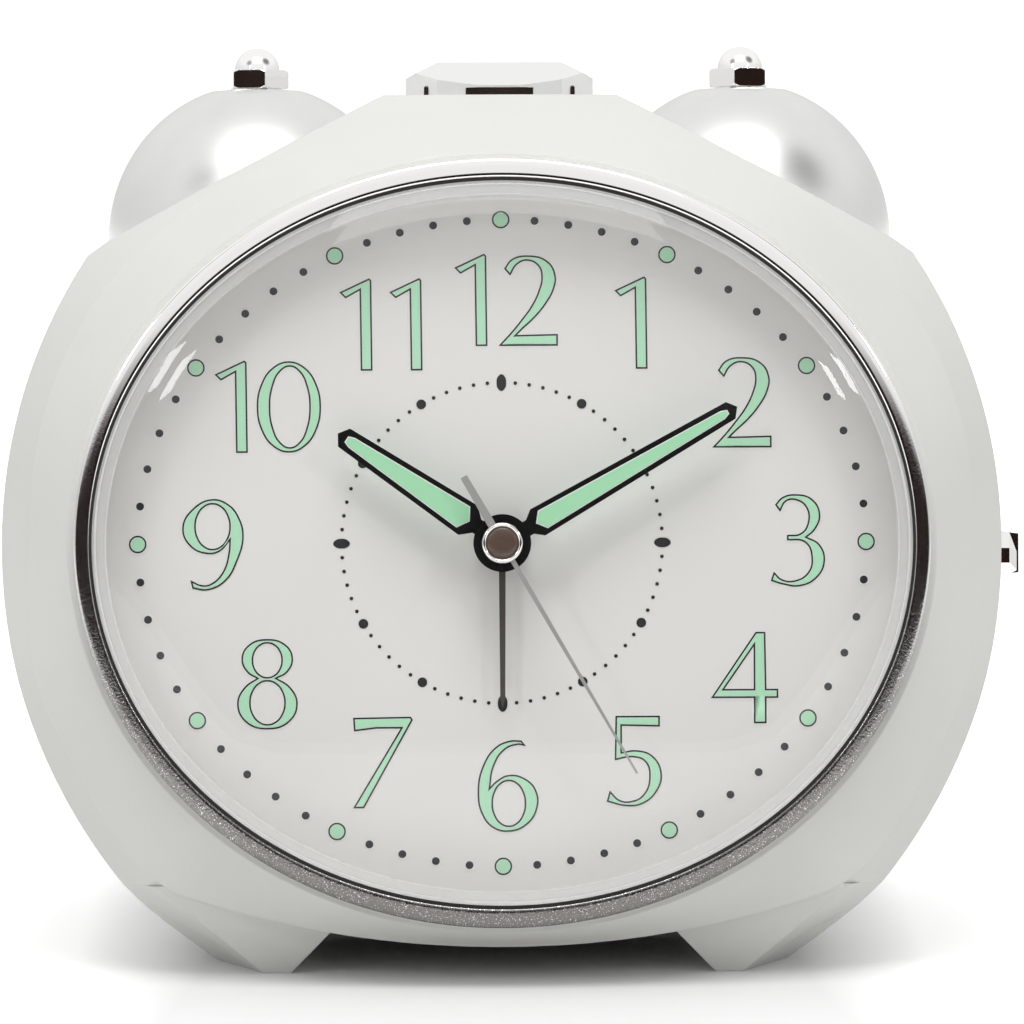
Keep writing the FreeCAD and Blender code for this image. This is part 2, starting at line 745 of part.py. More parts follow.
def motion_arbor():
    """The arbor that carries the motion wheel and its pinion, and runs back to the time setting knob."""
    wheel = gear(motion_place, motion_wheel_teeth, motion_module, 6.2, 7.2,
                 facing_gap(motion_direction, motion_wheel_teeth))
    pinion = gear(motion_place, motion_pinion_teeth, hour_module, 4.5, 5.8,
                  facing_gap(motion_direction, motion_pinion_teeth))
    return fused([wheel, pinion, rod(*motion_place, arbor_radius, 4.4, knob_y[0] + 3.2),
                  rod(*motion_place, 0.6, 1.4, 4.4)])


def alarm_set_arbor():
    pinion = gear(alarm_set_place, alarm_pinion_teeth, alarm_module, 2.9, 4.1,
                  facing_gap(alarm_set_direction, alarm_pinion_teeth))
    return fused([pinion, rod(*alarm_set_place, arbor_radius, 2.8, knob_y[0] + 3.2),
                  rod(*alarm_set_place, 0.6, 1.4, 2.8)])


def centre_wheel():
    """The wheel that carries the minute arbor round, through a sprung collar that slips."""
    wheel = gear(centre, centre_wheel_teeth, centre_module, 8.4, 9.2, third_direction, minute_tube + fit)
    return wheel.fuse(tube(0, 0, 1.8, minute_tube + fit, 7.7, 8.4)).removeSplitter()


def third_wheel():
    wheel = gear(third_place, third_wheel_teeth, going_module, 10.4, 11.2,
                 facing_gap(third_direction, third_wheel_teeth))
    pinion = gear(third_place, third_pinion_teeth, centre_module, 8.3, 9.5,
                  facing_gap(third_direction, third_pinion_teeth))
    pivot = rod(*third_place, pivot_radius, 1.4, 17.4)
    return fused([wheel, pinion, pivot, rod(*third_place, 0.8, 9.4, 10.5)])


def second_wheel():
    wheel = gear(centre, second_wheel_teeth, going_module, 13.0, 13.8, middle_direction)
    pinion = gear(centre, second_pinion_teeth, going_module, 10.2, 11.4, third_direction)
    shaft = rod(0, 0, second_shaft, second_hand_y - 0.2, 16.4)
    return fused([wheel, pinion, shaft, rod(0, 0, pivot_radius, 16.3, 17.4), rod(0, 0, 0.8, 11.3, 13.1)])


def middle_wheel():
    wheel = gear(middle_place, middle_wheel_teeth, going_module, 15.0, 15.8, rotor_direction)
    pinion = gear(middle_place, middle_pinion_teeth, going_module, 12.9, 13.9,
                  facing_gap(middle_direction, middle_pinion_teeth))
    pivot = rod(*middle_place, pivot_radius, 1.4, 17.4)
    return fused([wheel, pinion, pivot, rod(*middle_place, 0.8, 13.8, 15.1)])


def rotor_pinion():
    pinion = gear(rotor_place, rotor_teeth, going_module, 14.9, 15.9, facing_gap(rotor_direction, rotor_teeth))
    return fused([pinion, rod(*rotor_place, pivot_radius, 1.4, 17.4), rod(*rotor_place, 0.9, 11.6, 14.9)])


def rotor_magnet():
    return tube(*rotor_place, 2.7, 0.9, 12.4, 14.4)


def hand_outline(length, shoulder_half, tip_half):
    """The outline of a hand that points up: neck, shoulder, taper and a blunt point."""
    neck_half = 0.95
    side = [(neck_half, hub_radius - 0.6), (neck_half, shoulder_at - shoulder_half * 0.6),
            (shoulder_half, shoulder_at), (tip_half, length - 0.9), (0.0, length)]
    return side + [(-x, z) for x, z in reversed(side[:-1])]


def pointed(shape, clockwise):
    """Turns a piece that points up to a clock angle."""
    turned = shape.copy()
    turned.rotate(vec(0, 0, 0), vec(0, 1, 0), clockwise)
    return turned


def lumed_hand(y, angle, length, shoulder_half, tip_half, bore):
    """A hand with a window, and the luminous bar that fills the window."""
    outline = hand_outline(length, shoulder_half, tip_half)
    blade = prism(outline, y, y + hand_thick)
    border = 0.72
    side = [(0.0, shoulder_at - 0.1), (shoulder_half - border, shoulder_at + 0.75),
            (tip_half - border, length - 2.0), (tip_half - border - 0.25, length - 1.35)]
    bar = prism(side + [(-x, z) for x, z in reversed(side[1:])], y - lume_proud, y + hand_thick)
    hub = rod(0, 0, hub_radius, y, y + hand_thick)
    hand = blade.fuse(hub).removeSplitter().cut(bar).cut(rod(0, 0, bore, y - 1, y + 1))
    return pointed(hand, angle), pointed(bar, angle)


def second_hand():
    y = second_hand_y
    points = [(-0.42, -second_tail), (0.42, -second_tail), (0.5, -2.0), (0.3, 2.0), (0.13, second_length),
              (-0.13, second_length), (-0.3, 2.0), (-0.5, -2.0)]
    needle = prism(points, y, y + 0.3)
    boss = rod(0, 0, 2.4, y - 0.5, y + 0.7)
    hand = needle.fuse(boss).removeSplitter()
    hand = hand.cut(rod(0, 0, 1.95, y - 1, y - 0.1)).cut(rod(0, 0, second_shaft, y - 0.1, y + 1))
    return pointed(hand, second_angle)


def centre_cap():
    return rod(0, 0, 1.9, second_hand_y - 0.6, second_hand_y - 0.2)


def alarm_hand():
    y = alarm_hand_y
    taper_z = alarm_length - 1.2
    points = [(-0.42, 0.0), (0.42, 0.0), (0.3, taper_z), (0.0, alarm_length), (-0.3, taper_z)]
    hand = prism(points, y, y + 0.3).fuse(rod(0, 0, 2.9, y, y + 0.3)).removeSplitter()
    return pointed(hand.cut(rod(0, 0, alarm_tube, y - 1, y + 1)), alarm_angle)


def movement_front():
    """The movement's front plate, with the bush that holds the hands' shafts and a bearing for each arbor."""
    plate = box(-movement_x, movement_x, movement_y[0], 2.2, *movement_z)
    plate = fused([plate, rod(0, 0, bush_radius, -1.2, 2.2)]).cut(rod(0, 0, alarm_tube + fit, -2, 3))
    for place in (motion_place, alarm_set_place):
        plate = plate.cut(rod(*place, 0.6 + fit, 1.35, 3))
    for place in (third_place, middle_place, rotor_place):
        plate = plate.cut(rod(*place, pivot_radius + fit, 1.35, 3))
    return plate


def movement_rear():
    """The movement's rear shell, with ears for its screws."""
    outer = box(-movement_x, movement_x, 2.2, movement_y[1], *movement_z)
    inner = box(-movement_x + movement_wall, movement_x - movement_wall, 2.0, movement_y[1] - movement_wall,
                movement_z[0] + movement_wall, movement_z[1] - movement_wall)
    shell = outer.cut(inner)
    ears = []
    for z in ear_z:
        for side in (-1, 1):
            x0, x1 = sorted((side * (movement_x - 0.6), side * (ear_x + 2.6)))
            ears.append(box(x0, x1, 5.0, 6.4, z - 2.6, z + 2.6))
    shell = fused([shell] + ears)
    for z in ear_z:
        for side in (-ear_x, ear_x):
            shell = shell.cut(rod(side, z, 1.1, 4, 8))
    for place in (motion_place, alarm_set_place):
        shell = shell.cut(rod(*place, arbor_radius + fit, 16, 19))
    for place in (third_place, middle_place, rotor_place, centre):
        shell = shell.cut(rod(*place, pivot_radius + fit, 16, 17.45))
    return shell


def movement_screws():
    screws = []
    for z in ear_z:
        for side in (-ear_x, ear_x):
            screw = rod(side, z, 0.9, 2.6, 6.4).fuse(rod(side, z, 1.9, 6.4, 7.5)).removeSplitter()
            screws.append(screw.cut(box(side - 2, side + 2, 7.0, 8, z - 0.25, z + 0.25)))
    return screws


def stator():
    """The iron that leads the coil's field round the rotor."""
    x, z = rotor_place
    ring = rod(x, z, 5.2, 13.0, 13.8)
    arms = [box(-15, x, 13.0, 13.8, -14.6, -11.6), box(-15, -11.5, 13.0, 13.8, -21.4, -11.6),
            box(10.5, 15.5, 13.0, 13.8, -21.4, z)]
    iron = fused([ring] + arms).cut(rod(x, z, 3.0, 12, 15))
    return iron.cut(box(x - 6, x - 3.9, 12, 15, z - 0.2, z + 0.2))


def coil_core():
    return box(-14.6, 15.2, 13.8, 14.8, -21.0, -18.4)


def coil_bobbin():
    spool = Part.makeCylinder(1.75, 19, vec(-10.5, 14.3, -19.7), vec(1, 0, 0))
    ends = [Part.makeCylinder(2.4, 0.6, vec(x, 14.3, -19.7), vec(1, 0, 0)) for x in (-10.5, 7.9)]
    return fused([spool] + ends).cut(box(-14.6, 15.2, 13.8, 14.8, -21.0, -18.4))


def coil_winding():
    wound = Part.makeCylinder(2.25, 17.6, vec(-9.8, 14.3, -19.7), vec(1, 0, 0))
    return wound.cut(Part.makeCylinder(1.75, 19, vec(-10.5, 14.3, -19.7), vec(1, 0, 0)))


def circuit_board():
    return box(-24.4, -15.6, 12.0, 13.0, -12, 12).cut(box(-17, -15, 11, 14, 3, 10))


def quartz_crystal():
    return Part.makeCylinder(1.0, 6.0, vec(-22.5, 11.0, -9.0))


def timing_chip():
    return box(-22.4, -18.2, 10.8, 12.0, 0.0, 4.2)


def alarm_contact():
    """The leaf that the alarm wheel releases when the alarm hand's time comes."""
    leaf = box(8.6, 24.6, 4.9, 5.2, 9.6, 11.6).cut(box(8, 13, 4, 6, 9, 10.4))
    return fused([leaf, box(22.8, 24.6, 4.9, 12.0, 9.6, 11.6)])


def set_knob(place):
    """A ribbed setting knob with a dished face."""
    body = rod(*place, knob_radius - 0.35, *knob_y)
    ribs = [rod(*step_from(place, knob_radius - 0.45, 20 * step), 0.45, *knob_y) for step in range(18)]
    dish = Part.makeCone(3.2, 4.2, 0.8, vec(place[0], knob_y[1] - 0.8, place[1]), vec(0, 1, 0))
    knob = fused([body] + ribs).cut(dish)
    return knob.cut(rod(*place, arbor_radius, knob_y[0] - 1, knob_y[0] + 3.2))


def snooze_spring():
    low, high = bridge_z[1], button_ceiling_z
    y = sum(button_y) / 2
    return post(0, y, 3.4, low + 0.05, high - 0.05).cut(post(0, y, 2.5, low - 1, high + 1))


def snooze_contact():
    """A pair of leaves under the snooze button's stem."""
    leaf = box(-8.4, 3.0, 21.5, 24.5, 39.0, 39.3)
    base = box(-8.6, -7.2, 21.0, 25.0, 39.0, bridge_z[0])
    return fused([leaf, base])


def hammer():
    """The hammer's arm on its pivot, with the cross head between the bells and a tail for the magnet."""
    y0, y1 = hammer_y
    arm = box(-1.5, 1.5, y0 + 0.5, y1 - 0.5, hammer_pivot_z, hammer_head_z[0] + 1)
    eye = rod(0, hammer_pivot_z, 3.0, y0 + 0.5, y1 - 0.5)
    tail = box(-1.0, 1.0, y0 + 0.5, y1 - 0.5, 12.5, hammer_pivot_z)
    return fused([arm, eye, tail]).cut(rod(0, hammer_pivot_z, 1.25 + fit, 20, 40))


def hammer_head():
    bar = box(-hammer_head_half, hammer_head_half, *hammer_y, *hammer_head_z)
    return bar.cut(box(-1.5, 1.5, hammer_y[0] + 0.5, hammer_y[1] - 0.5, 39, hammer_head_z[0] + 1))


def armature():
    plate = box(-1.6, 1.6, hammer_y[0] - 2.0, hammer_y[1] + 2.0, 12.5, 19.0)
    return plate.cut(box(-1.0, 1.0, hammer_y[0] + 0.5, hammer_y[1] - 0.5, 12, 19.5))


def striker_bracket():
    """The plate behind the movement that holds the hammer's pivot pin and the magnet."""
    plate = box(-15.5, 24.0, *bracket_y, 10.2, 29.0)
    shelf = box(4.0, 24.0, bracket_y[1], 33.5, 10.2, 11.0)
    bracket = fused([plate, shelf])
    for x, z in bracket_places:
        bracket = bracket.cut(rod(x, z, 1.1, *bracket_y))
    return bracket.cut(rod(0, hammer_pivot_z, 1.25, 20, 40))


def hammer_pin():
    return rod(0, hammer_pivot_z, 1.25, bracket_y[0], 32.6)


def magnet_core():
    core = Part.makeCylinder(1.8, 18.0, vec(3.0, 29.0, magnet_z), vec(1, 0, 0))
    yoke = box(21.0, 22.6, 24.2, 33.4, 11.0, 21.0)
    return fused([core, yoke])


def magnet_coil():
    wound = Part.makeCylinder(4.6, 15.5, vec(4.6, 29.0, magnet_z), vec(1, 0, 0))
    return wound.cut(Part.makeCylinder(1.8, 20.0, vec(3.0, 29.0, magnet_z), vec(1, 0, 0)))


def bracket_screws():
    screws = []
    for x, z in bracket_places:
        shank = rod(x, z, 0.9, bracket_y[0] - 1, bracket_y[1] + 3)
        screws.append(shank.fuse(rod(x, z, 2.0, bracket_y[0] - 1.8, bracket_y[0])).removeSplitter())
    return screws


def case_screws():
    screws = []
    for x, z in screw_places:
        for side in (-x, x):
            shank = rod(side, z, screw_shank, 3.6, screw_seat_y)
            head = rod(side, z, screw_head[0], screw_seat_y, screw_seat_y + screw_head[1])
            cross = fused([box(side - 1.6, side + 1.6, 18.9, 21, z - 0.35, z + 0.35),
                           box(side - 0.35, side + 0.35, 18.9, 21, z - 1.6, z + 1.6)])
            screws.append(shank.fuse(head).removeSplitter().cut(cross))
    return screws


def battery(z, side):
    """A round cell with its raised positive cap."""
    half = cell_length / 2
    body = Part.makeCylinder(cell_radius, cell_length, vec(-half, cell_y, z), vec(1, 0, 0))
    cap_x = half if side > 0 else -half - 1.0
    cap = Part.makeCylinder(2.6, 1.0, vec(cap_x, cell_y, z), vec(1, 0, 0))
    return body.fuse(cap).removeSplitter()


def plus_contact(z, side):
    x0, x1 = sorted((side * (bay_half - 0.5), side * bay_half))
    return box(x0, x1, cell_y - 5, cell_y + 5, z - 5, z + 5)


def minus_spring(z, side):
    """The sprung end contact, as the cone that its turns fill."""
    start = side * (bay_half - 0.5)
    plate_x = sorted((start, side * bay_half))
    plate = box(*plate_x, cell_y - 5, cell_y + 5, z - 5, z + 5)
    room = bay_half - 0.5 - cell_length / 2
    cone = Part.makeCone(3.6, 2.0, room - 0.1, vec(start, cell_y, z), vec(-side, 0, 0))
    return plate.fuse(cone).removeSplitter()


def door_plate(grow, y0, y1):
    """The battery door's outline, with its lower corners taken off, grown by a clearance."""
    side, low, high = door_half + grow, door_z[0] - grow, door_z[1] + grow
    return prism([(-side, high), (side, high), (side, low + door_corner), (side - door_corner, low),
                  (door_corner - side, low), (-side, low + door_corner)], y0, y1)


def battery_door():
    plate = door_plate(0, *door_y)
    for step in range(4):
        groove_z = door_z[1] - 3.6 - 1.6 * step
        plate = plate.cut(box(-7.0, 7.0, door_y[1] - 0.5, door_y[1] + 1, groove_z - 0.8, groove_z))
    hook_y = (door_y[0] - 2.4, door_y[0])
    tabs = [box(x - 2.5, x + 2.5, *hook_y, bay_z[0] + 0.3, bay_z[0] + 1.5) for x in (-18, 18)]
    latch = box(-4.0, 4.0, *hook_y, bay_z[1] - 1.5, bay_z[1] - 0.3)
    return fused([plate, latch] + tabs)


def switch_knob():
    """The alarm switch: a bevelled thumb piece outside, a stem through the slot and a plate inside."""
    z0, z1 = switch_z
    face_x = case_half_width + 0.25
    rings = []
    for x, inset in ((face_x, 0.0), (face_x + 2.3, 0.25)):
        half = switch_y_half - inset
        corners = [vec(x, switch_y - half, z0 + inset), vec(x, switch_y + half, z0 + inset),
                   vec(x, switch_y + half, z1 - inset), vec(x, switch_y - half, z1 - inset)]
        rings.append(Part.makePolygon(corners + corners[:1]))
    thumb = Part.makeLoft(rings, True, True)
    stem = box(56.4, face_x + 0.5, switch_y - 1.5, switch_y + 1.5, z0 + 1.1, z0 + 4.2)
    inner = box(54.8, 56.6, switch_y - 3.0, switch_y + 3.0, z0 + 0.4, z0 + 4.9)
    return fused([thumb, stem, inner])


def switch_contact():
    return fused([box(50.2, 50.6, 13.0, 18.0, -6.0, 6.0), box(50.4, 54.6, 13.0, 18.0, -6.0, -5.5)])


def main():
    save("front_case", front_case())
    save("rear_case", rear_case())
    save("bezel_ring", bezel_ring())
    save("lens", lens())
    save("dial", dial())
    save("bell_left", bell(-1))
    save("bell_right", bell(1))
    save("bell_posts", at_bells(bell_post()))
    save("bell_washers", at_bells(bell_washer()))
    save("bell_nuts", bell_nuts())
    save("case_screws", case_screws())
    save("movement_front", movement_front())
    save("movement_rear", movement_rear())
    save("movement_screws", movement_screws())
    save("stator", stator())
    save("coil_core", coil_core())
    save("coil_bobbin", coil_bobbin())
    save("coil_winding", coil_winding())
    save("circuit_board", circuit_board())
    save("quartz_crystal", quartz_crystal())
    save("timing_chip", timing_chip())
    save("alarm_contact", alarm_contact())
    save("snooze_contact", snooze_contact())
    save("switch_contact", switch_contact())
    save("striker_bracket", striker_bracket())
    save("bracket_screws", bracket_screws())
    save("hammer_pin", hammer_pin())
    save("magnet_core", magnet_core())
    save("magnet_coil", magnet_coil())
    save("battery_cells", [battery(cell_z[0], 1), battery(cell_z[1], -1)])
    save("battery_plus_contacts", [plus_contact(cell_z[0], 1), plus_contact(cell_z[1], -1)])
    save("battery_springs", [minus_spring(cell_z[0], -1), minus_spring(cell_z[1], 1)])
    save("rotor_pinion", rotor_pinion())
    save("rotor_magnet", rotor_magnet())
    save("middle_wheel", middle_wheel())
    save("second_wheel", second_wheel())
    save("third_wheel", third_wheel())
    save("centre_wheel", centre_wheel())
    save("minute_arbor", minute_arbor())
    save("motion_arbor", motion_arbor())
    save("hour_wheel", hour_wheel())
    save("alarm_wheel", alarm_wheel())
    save("alarm_set_arbor", alarm_set_arbor())
    minute_hand, minute_lume = lumed_hand(minute_hand_y, minute_angle, minute_length, 1.8, 1.15, minute_tube)
    hour_hand, hour_lume = lumed_hand(hour_hand_y, hour_angle, hour_length, 2.1, 1.3, hour_tube)
    save("minute_hand", minute_hand)
    save("minute_lume", minute_lume)
    save("hour_hand", hour_hand)
    save("hour_lume", hour_lume)
    save("second_hand", second_hand())
    save("centre_cap", centre_cap())
    save("alarm_hand", alarm_hand())
    save("time_set_knob", set_knob(motion_place))
    save("alarm_set_knob", set_knob(alarm_set_place))
    save("snooze_button", snooze_button())
    save("snooze_clip", snooze_clip())
    save("snooze_spring", snooze_spring())
    save("hammer", hammer())
    save("hammer_head", hammer_head())
    save("armature", armature())
    save("battery_door", battery_door())
    save("switch_knob", switch_knob())


main()
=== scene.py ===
import bpy
import json
import math
from mathutils import Matrix, Vector


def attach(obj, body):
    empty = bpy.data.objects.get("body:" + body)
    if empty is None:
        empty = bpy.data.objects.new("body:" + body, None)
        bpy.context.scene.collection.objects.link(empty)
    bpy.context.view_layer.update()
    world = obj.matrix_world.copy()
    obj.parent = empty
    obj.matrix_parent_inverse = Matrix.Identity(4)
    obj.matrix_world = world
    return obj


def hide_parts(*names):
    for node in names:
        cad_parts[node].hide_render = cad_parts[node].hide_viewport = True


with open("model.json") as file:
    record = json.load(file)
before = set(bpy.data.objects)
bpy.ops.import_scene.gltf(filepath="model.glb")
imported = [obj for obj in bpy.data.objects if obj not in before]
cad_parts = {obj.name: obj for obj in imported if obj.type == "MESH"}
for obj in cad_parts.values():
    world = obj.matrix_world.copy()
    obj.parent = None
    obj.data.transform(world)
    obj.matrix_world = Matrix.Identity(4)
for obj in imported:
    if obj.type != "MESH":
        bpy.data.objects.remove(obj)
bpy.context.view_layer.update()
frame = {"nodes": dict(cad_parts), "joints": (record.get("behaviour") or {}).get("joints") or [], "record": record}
nodes = frame["nodes"]
mm = 0.001

# the dial's own axes, read from the joint that turns the minute hand
handJoint = next(joint for joint in frame["joints"] if joint["name"] == "minute_turn")
dialMiddle = Vector(handJoint["pos_m"])
dialBack = Vector(handJoint["axis"]).normalized()
dialRight = Vector((1, 0, 0))
dialUp = dialRight.cross(dialBack)
dialAxes = Matrix((dialRight, dialBack, dialUp)).transposed()


def onDial(x, y, z):
    # millimetres right of, behind and above the hands' axis
    return dialMiddle + dialAxes @ Vector((x, y, z)) * mm


def paint(red, green, blue):
    # a colour as read off a screen, 0 to 255, made linear
    def linear(value):
        value /= 255
        return value / 12.92 if value <= 0.04045 else ((value + 0.055) / 1.055) ** 2.4
    return (linear(red), linear(green), linear(blue), 1.0)


class Wire:
    # a node's output, so that sums on it read as sums
    def __init__(self, nodes, socket):
        self.nodes = nodes
        self.socket = socket

    def maths(self, operation, *values):
        return self.nodes.node("Math", {"operation": operation}, **{str(i): v for i, v in enumerate(values)})

    def __add__(self, other):
        return self.maths("ADD", self, other)

    def __sub__(self, other):
        return self.maths("SUBTRACT", self, other)

    def __rsub__(self, other):
        return self.maths("SUBTRACT", other, self)

    def __mul__(self, other):
        return self.maths("MULTIPLY", self, other)

    def __gt__(self, other):
        return self.maths("GREATER_THAN", self, other)

    def __or__(self, other):
        return self.maths("MAXIMUM", self, other)

    def size(self):
        return self.maths("ABSOLUTE", self)

    def clamped(self):
        return self.maths("MINIMUM", self | 0.0, 1.0)

    def between(self, low, high):
        # 0 up to low, 1 from high on, and an even rise from one to the other
        return ((self - low) * (1 / (high - low))).clamped()


class Nodes:
    # the node tree of a material or of the world
    def __init__(self, tree):
        self.tree = tree

    def node(self, kind, settings=None, out=0, **inputs):
        made = self.tree.nodes.new("ShaderNode" + kind)
        for setting, value in (settings or {}).items():
            setattr(made, setting, value)
        for name, value in inputs.items():
            self.feed(value, made.inputs[int(name)] if name.isdigit() else made.inputs[name.replace("_", " ")])
        return Wire(self, made.outputs[out])

    def feed(self, value, socket):
        if isinstance(value, Wire):
            self.tree.links.new(value.socket, socket)
        else:
            socket.default_value = value

    def mix(self, factor, first, second):
        mixed = self.node("Mix", {"data_type": "RGBA"}, out=2, Factor=factor)
        mixer = mixed.socket.node
        self.feed(first, mixer.inputs[6])
        self.feed(second, mixer.inputs[7])
        return mixed

    def along(self, direction, where):
        # how far a point lies along a direction
        return self.node("VectorMath", {"operation": "DOT_PRODUCT"}, out="Value",
                         **{"0": where, "1": tuple(direction)})

    def ray(self, kind):
        # 1 for one kind of ray: Camera, Glossy or Transmission
        path = self.node("LightPath")
        return Wire(self, path.socket.node.outputs["Is %s Ray" % kind])

    def shown(self):
        # 1 for rays from the camera, off metal or through glass, 0 for the light that falls on things
        return self.ray("Camera") | self.ray("Glossy") | self.ray("Transmission")


class Finish(Nodes):
    # one material; what is the same all over goes straight onto the shader's own sockets
    def __init__(self, name, **fixed):
        self.material = bpy.data.materials.new(name)
        self.material.use_nodes = True
        super().__init__(self.material.node_tree)
        self.shader = next(n for n in self.tree.nodes if n.type == "BSDF_PRINCIPLED")
        self.output = next(n for n in self.tree.nodes if n.type == "OUTPUT_MATERIAL")
        for socket, value in fixed.items():
            self.shader.inputs[socket.replace("_", " ")].default_value = value

    def place(self):
        # where on the object, in metres
        return self.node("TexCoord", out="Object")

    def noise(self, size, detail=2.0):
        # size is the width of the noise's cells in millimetres
        return self.node("TexNoise", {"noise_dimensions": "3D"}, out="Fac", Vector=self.place(),
                         Scale=1000 / size, Detail=detail, Roughness=0.5)

    def set(self, **inputs):
        for name, value in inputs.items():
            self.feed(value, self.shader.inputs[name.replace("_", " ")])

    def bump(self, height, distance, softEdge=0.0):
        # distance is the bump's full height and softEdge the radius that sharp edges seem to have, in millimetres
        under = {"Normal": self.node("Bevel", {"samples": 4}, Radius=softEdge * mm)} if softEdge else {}
        self.set(Normal=self.node("Bump", out="Normal", Height=height, Distance=distance * mm, **under))
        return self


# Finishes: colours from 0 to 255, sizes, depths and soft edges in millimetres
pearl = {"colour": (228, 228, 224), "shade": (219, 219, 214), "fleckSize": 0.16, "cloudSize": 14, "roughness": 0.26,
         "fleckRoughness": 0.16, "metalFrom": 0.62, "metal": 0.2, "grainSize": 0.5, "grainDepth": 0.006,
         "softEdge": 0.35}


def pearlPlastic():
    finish = Finish("pearlPlastic", Coat_Weight=0.3, Coat_Roughness=0.25)
    fleck = finish.noise(pearl["fleckSize"], detail=1)
    blend = (finish.noise(pearl["cloudSize"]) * 0.6 + fleck * 0.8 - 0.2).clamped()
    finish.set(Base_Color=finish.mix(blend, paint(*pearl["shade"]), paint(*pearl["colour"])))
    finish.set(Roughness=fleck * pearl["fleckRoughness"] + pearl["roughness"],
               Metallic=(fleck > pearl["metalFrom"]) * pearl["metal"])
    return finish.bump(finish.noise(pearl["grainSize"], detail=3), pearl["grainDepth"], pearl["softEdge"])


# the darker colour here is painted shade, which the bezel's plating takes towards its foot for the dim reflection of
# the shaded floor
chrome = {"colour": (246, 245, 244), "paintedShade": (128, 126, 123), "smearSize": 9, "gritSize": 0.3, "speckSize": 0.16,
          "specks": (0.6, 0.72), "foot": (-0.02, 0.02), "roughness": 0.03, "smearRoughness": 0.05,
          "gritRoughness": 0.2, "depth": 0.015}


def brightChrome(name, pittingAndShade=0.0, softEdge=0.0):
    # plated plastic: a mirror; on the bezel, towards its foot, pitted and full of fine bright specks, and darker,
    # which is painted shade standing in for the dim reflection of the shaded floor
    finish = Finish(name, Metallic=1.0)
    plating = paint(*chrome["colour"])
    smear = finish.noise(chrome["smearSize"], detail=4)
    height = finish.along(dialUp, finish.place()) - dialMiddle.dot(dialUp)
    low = 1 - height.between(*chrome["foot"])
    grit = finish.noise(chrome["gritSize"], detail=3) * low * pittingAndShade
    specks = finish.noise(chrome["speckSize"]).between(*chrome["specks"]) * low * pittingAndShade
    # painted shade: towards the bezel's foot the plating's colour darkens, for the dim reflection of the shaded floor
    # below it
    paintedShade = finish.mix(low * pittingAndShade, plating, paint(*chrome["paintedShade"]))
    finish.set(Base_Color=finish.mix(specks, paintedShade, plating))
    finish.set(Roughness=smear * chrome["smearRoughness"] + grit * chrome["gritRoughness"] + chrome["roughness"])
    return finish.bump(grit + smear * 0.1, chrome["depth"], softEdge)


satin = {"bell": ((230, 230, 229), (218, 218, 217)), "ringsPerMetre": 3500.0, "cloudSize": 6, "bellRoughness": 0.25,
         "ringRoughness": 0.08, "cloudRoughness": 0.05, "ringDepth": 0.002,
         "top": ((236, 236, 235), (226, 226, 225)), "grainSize": 0.12, "topRoughness": 0.26, "grainRoughness": 0.1,
         "grainDepth": 0.003}


def satinBell():
    # turned metal under satin plating: very fine rings round the bell's own axis
    finish = Finish("satinBell", Metallic=1.0)
    height = finish.along(dialUp, finish.place())
    rings = finish.node("TexNoise", {"noise_dimensions": "1D"}, out="Fac", W=height,
                        Scale=satin["ringsPerMetre"], Detail=2.0)
    cloud = finish.noise(satin["cloudSize"], detail=3)
    finish.set(Base_Color=finish.mix(cloud, *(paint(*colour) for colour in satin["bell"])))
    finish.set(Roughness=rings * satin["ringRoughness"] + cloud * satin["cloudRoughness"] + satin["bellRoughness"])
    return finish.bump(rings, satin["ringDepth"])


def satinTop():
    finish = Finish("satinTop", Metallic=0.4)
    grain = finish.noise(satin["grainSize"])
    finish.set(Base_Color=finish.mix(grain, *(paint(*colour) for colour in satin["top"])))
    finish.set(Roughness=grain * satin["grainRoughness"] + satin["topRoughness"])
    return finish.bump(grain, satin["grainDepth"])


clear = {"tint": (0.995, 0.992, 0.988, 1), "roughness": 0.02, "facing": 0.018, "slanting": 0.8, "slantPower": 5.0}


def clearLens():
    # clear plastic without the bending of light, so that what lies behind it stays sharp
    finish = Finish("clearLens", Roughness=clear["roughness"], IOR=1.49, Alpha=0.06)
    gloss = finish.node("BsdfGlossy", Color=(1, 1, 1, 1), Roughness=clear["roughness"])
    through = finish.node("BsdfTransparent", Color=clear["tint"])
    slant = finish.node("LayerWeight", out="Facing", Blend=0.5)
    mirrored = slant.maths("POWER", slant, clear["slantPower"]) * clear["slanting"] + clear["facing"]
    mixed = finish.node("MixShader", **{"0": mirrored, "1": through, "2": gloss})
    finish.feed(mixed, finish.output.inputs["Surface"])
    return finish


card = {"dark": (232, 232, 230), "light": (240, 240, 238), "fleckSize": 0.2, "cloudSize": 20, "roughness": 0.45,
        "fleckRoughness": 0.2, "fleckDepth": 0.004}


def dialCard():
    finish = Finish("dialCard", Specular_IOR_Level=0.3)
    fleck = finish.noise(card["fleckSize"])
    cloud = finish.noise(card["cloudSize"], detail=1)
    finish.set(Base_Color=finish.mix(fleck * 0.5 + cloud * 0.5, paint(*card["dark"]), paint(*card["light"])))
    finish.set(Roughness=fleck * card["fleckRoughness"] + card["roughness"])
    return finish.bump(fleck, card["fleckDepth"])


plain = {"darker": 14, "roughSpread": 0.12}


def plainFinish(name, colour, roughness, metallic=0.0, grain=0.3, depth=0.004, coat=0.0, softEdge=0.0, shine=0.5):
    finish = Finish(name, Metallic=metallic, Coat_Weight=coat, Specular_IOR_Level=shine)
    spread = finish.noise(grain, detail=3)
    dark = [max(value - plain["darker"], 0) for value in colour]
    finish.set(Base_Color=finish.mix(spread, paint(*dark), paint(*colour)))
    finish.set(Roughness=spread * plain["roughSpread"] + (roughness - plain["roughSpread"] / 2))
    return finish.bump(spread, depth, softEdge)


